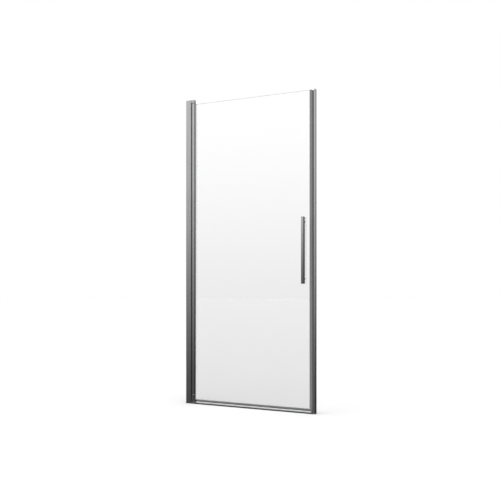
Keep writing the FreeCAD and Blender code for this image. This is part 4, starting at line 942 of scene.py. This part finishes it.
low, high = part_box("inner_discs")
disc_radius = (high[0] - low[0]) / 2
disc_thick = high[1] - low[1]
head_low, head_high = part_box("handle_screws")
seat_radius = (head_high[0] - head_low[0]) / 2 + DISC_SEAT_GAP
seat_floor = handle_screws[0][1] - low[1]
rim = disc_thick * RIM_SHARE
outline = [(WASHER_BORE, 0), (disc_radius - rim / 2, 0), (disc_radius, rim / 2)]
outline += quarter((disc_radius - rim, disc_thick - rim), rim, 0, 80)
outline += [(seat_radius + DISC_STEP * 4, disc_thick),
            (seat_radius + DISC_STEP * 3, disc_thick - DISC_STEP)]
outline += [(seat_radius + DISC_STEP, disc_thick - DISC_STEP),
            (seat_radius, disc_thick - DISC_STEP * 2)]
outline += [(seat_radius, seat_floor), (WASHER_BORE, seat_floor), (WASHER_BORE, 0)]
places = [(place[0], low[1], place[2]) for place in handle_screws]
disc = turned("inner_disc", outline, DISC_STEPS)
copies(disc, "inner_discs", "door_leaf", turned_metal, places, "+Y")

# %% [markdown]
# ## The drip seal
# Under the leaf hangs a clear extruded seal. Its root slides into the rail's slot and two soft fins curve
# out and down to the sill. A real fin is thick at its root and feathers towards its lip, so it is drawn as
# two arcs about one centre whose distance shrinks, and the other side is the mirror image.

# %% Drip seal
FIN_RADIUS = 0.0021  # of the fin's outer curve
FIN_OUT = 0.0042  # from the middle of the rail to the fin's centre
FIN_ROOT, FIN_LIP = 0.0009, 0.0004  # thickness of the fin at both ends
FIN_START, FIN_END, FIN_STEPS = 50, -65, 12  # degrees round the fin's centre
FIN_ROOT_TURN = 15  # degrees by which the inner curve ends before the outer one starts
FIN_TOP_IN, FIN_ROOT_IN = 0.0001, 0.0004  # how far the base's two corners lie inside the fin's ends
ROOT_HALF, MOUTH_HALF = 0.00455, 0.00285
ROOT_LOW, BASE_LOW = 0.00155, 0.0010  # above and below the rail's underside
SEAL_SKIN = 0.00005  # the base hangs this little below the rail

low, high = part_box("bottom_seal")
rail_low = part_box("bottom_rail")[0][2]
lift = FIN_RADIUS * math.sin(math.radians(-FIN_END))
fin_centre = (FIN_OUT, low[2] + lift)
outer_arc = quarter(fin_centre, FIN_RADIUS, FIN_START, FIN_END, FIN_STEPS)
inner_arc = []
for index in range(FIN_STEPS + 1):
    share = index / FIN_STEPS
    angle = math.radians(FIN_END + (FIN_START - FIN_ROOT_TURN - FIN_END) * share)
    reach = FIN_RADIUS - FIN_LIP - (FIN_ROOT - FIN_LIP) * share
    inner_arc.append((fin_centre[0] + reach * math.cos(angle), fin_centre[1] + reach * math.sin(angle)))
half = [(ROOT_HALF, high[2]), (ROOT_HALF, rail_low + ROOT_LOW), (MOUTH_HALF, rail_low + ROOT_LOW),
        (MOUTH_HALF, rail_low - SEAL_SKIN), (outer_arc[0][0] - FIN_TOP_IN, rail_low - SEAL_SKIN)]
half += outer_arc + inner_arc + [(inner_arc[-1][0] - FIN_ROOT_IN, rail_low - BASE_LOW)]
section = half + [(-y, z) for y, z in reversed(half)]
seal = length_of_profile("bottom_seal", section, low[0], high[0])
stand_for(seal, "bottom_seal", "door_leaf", clear_seal)
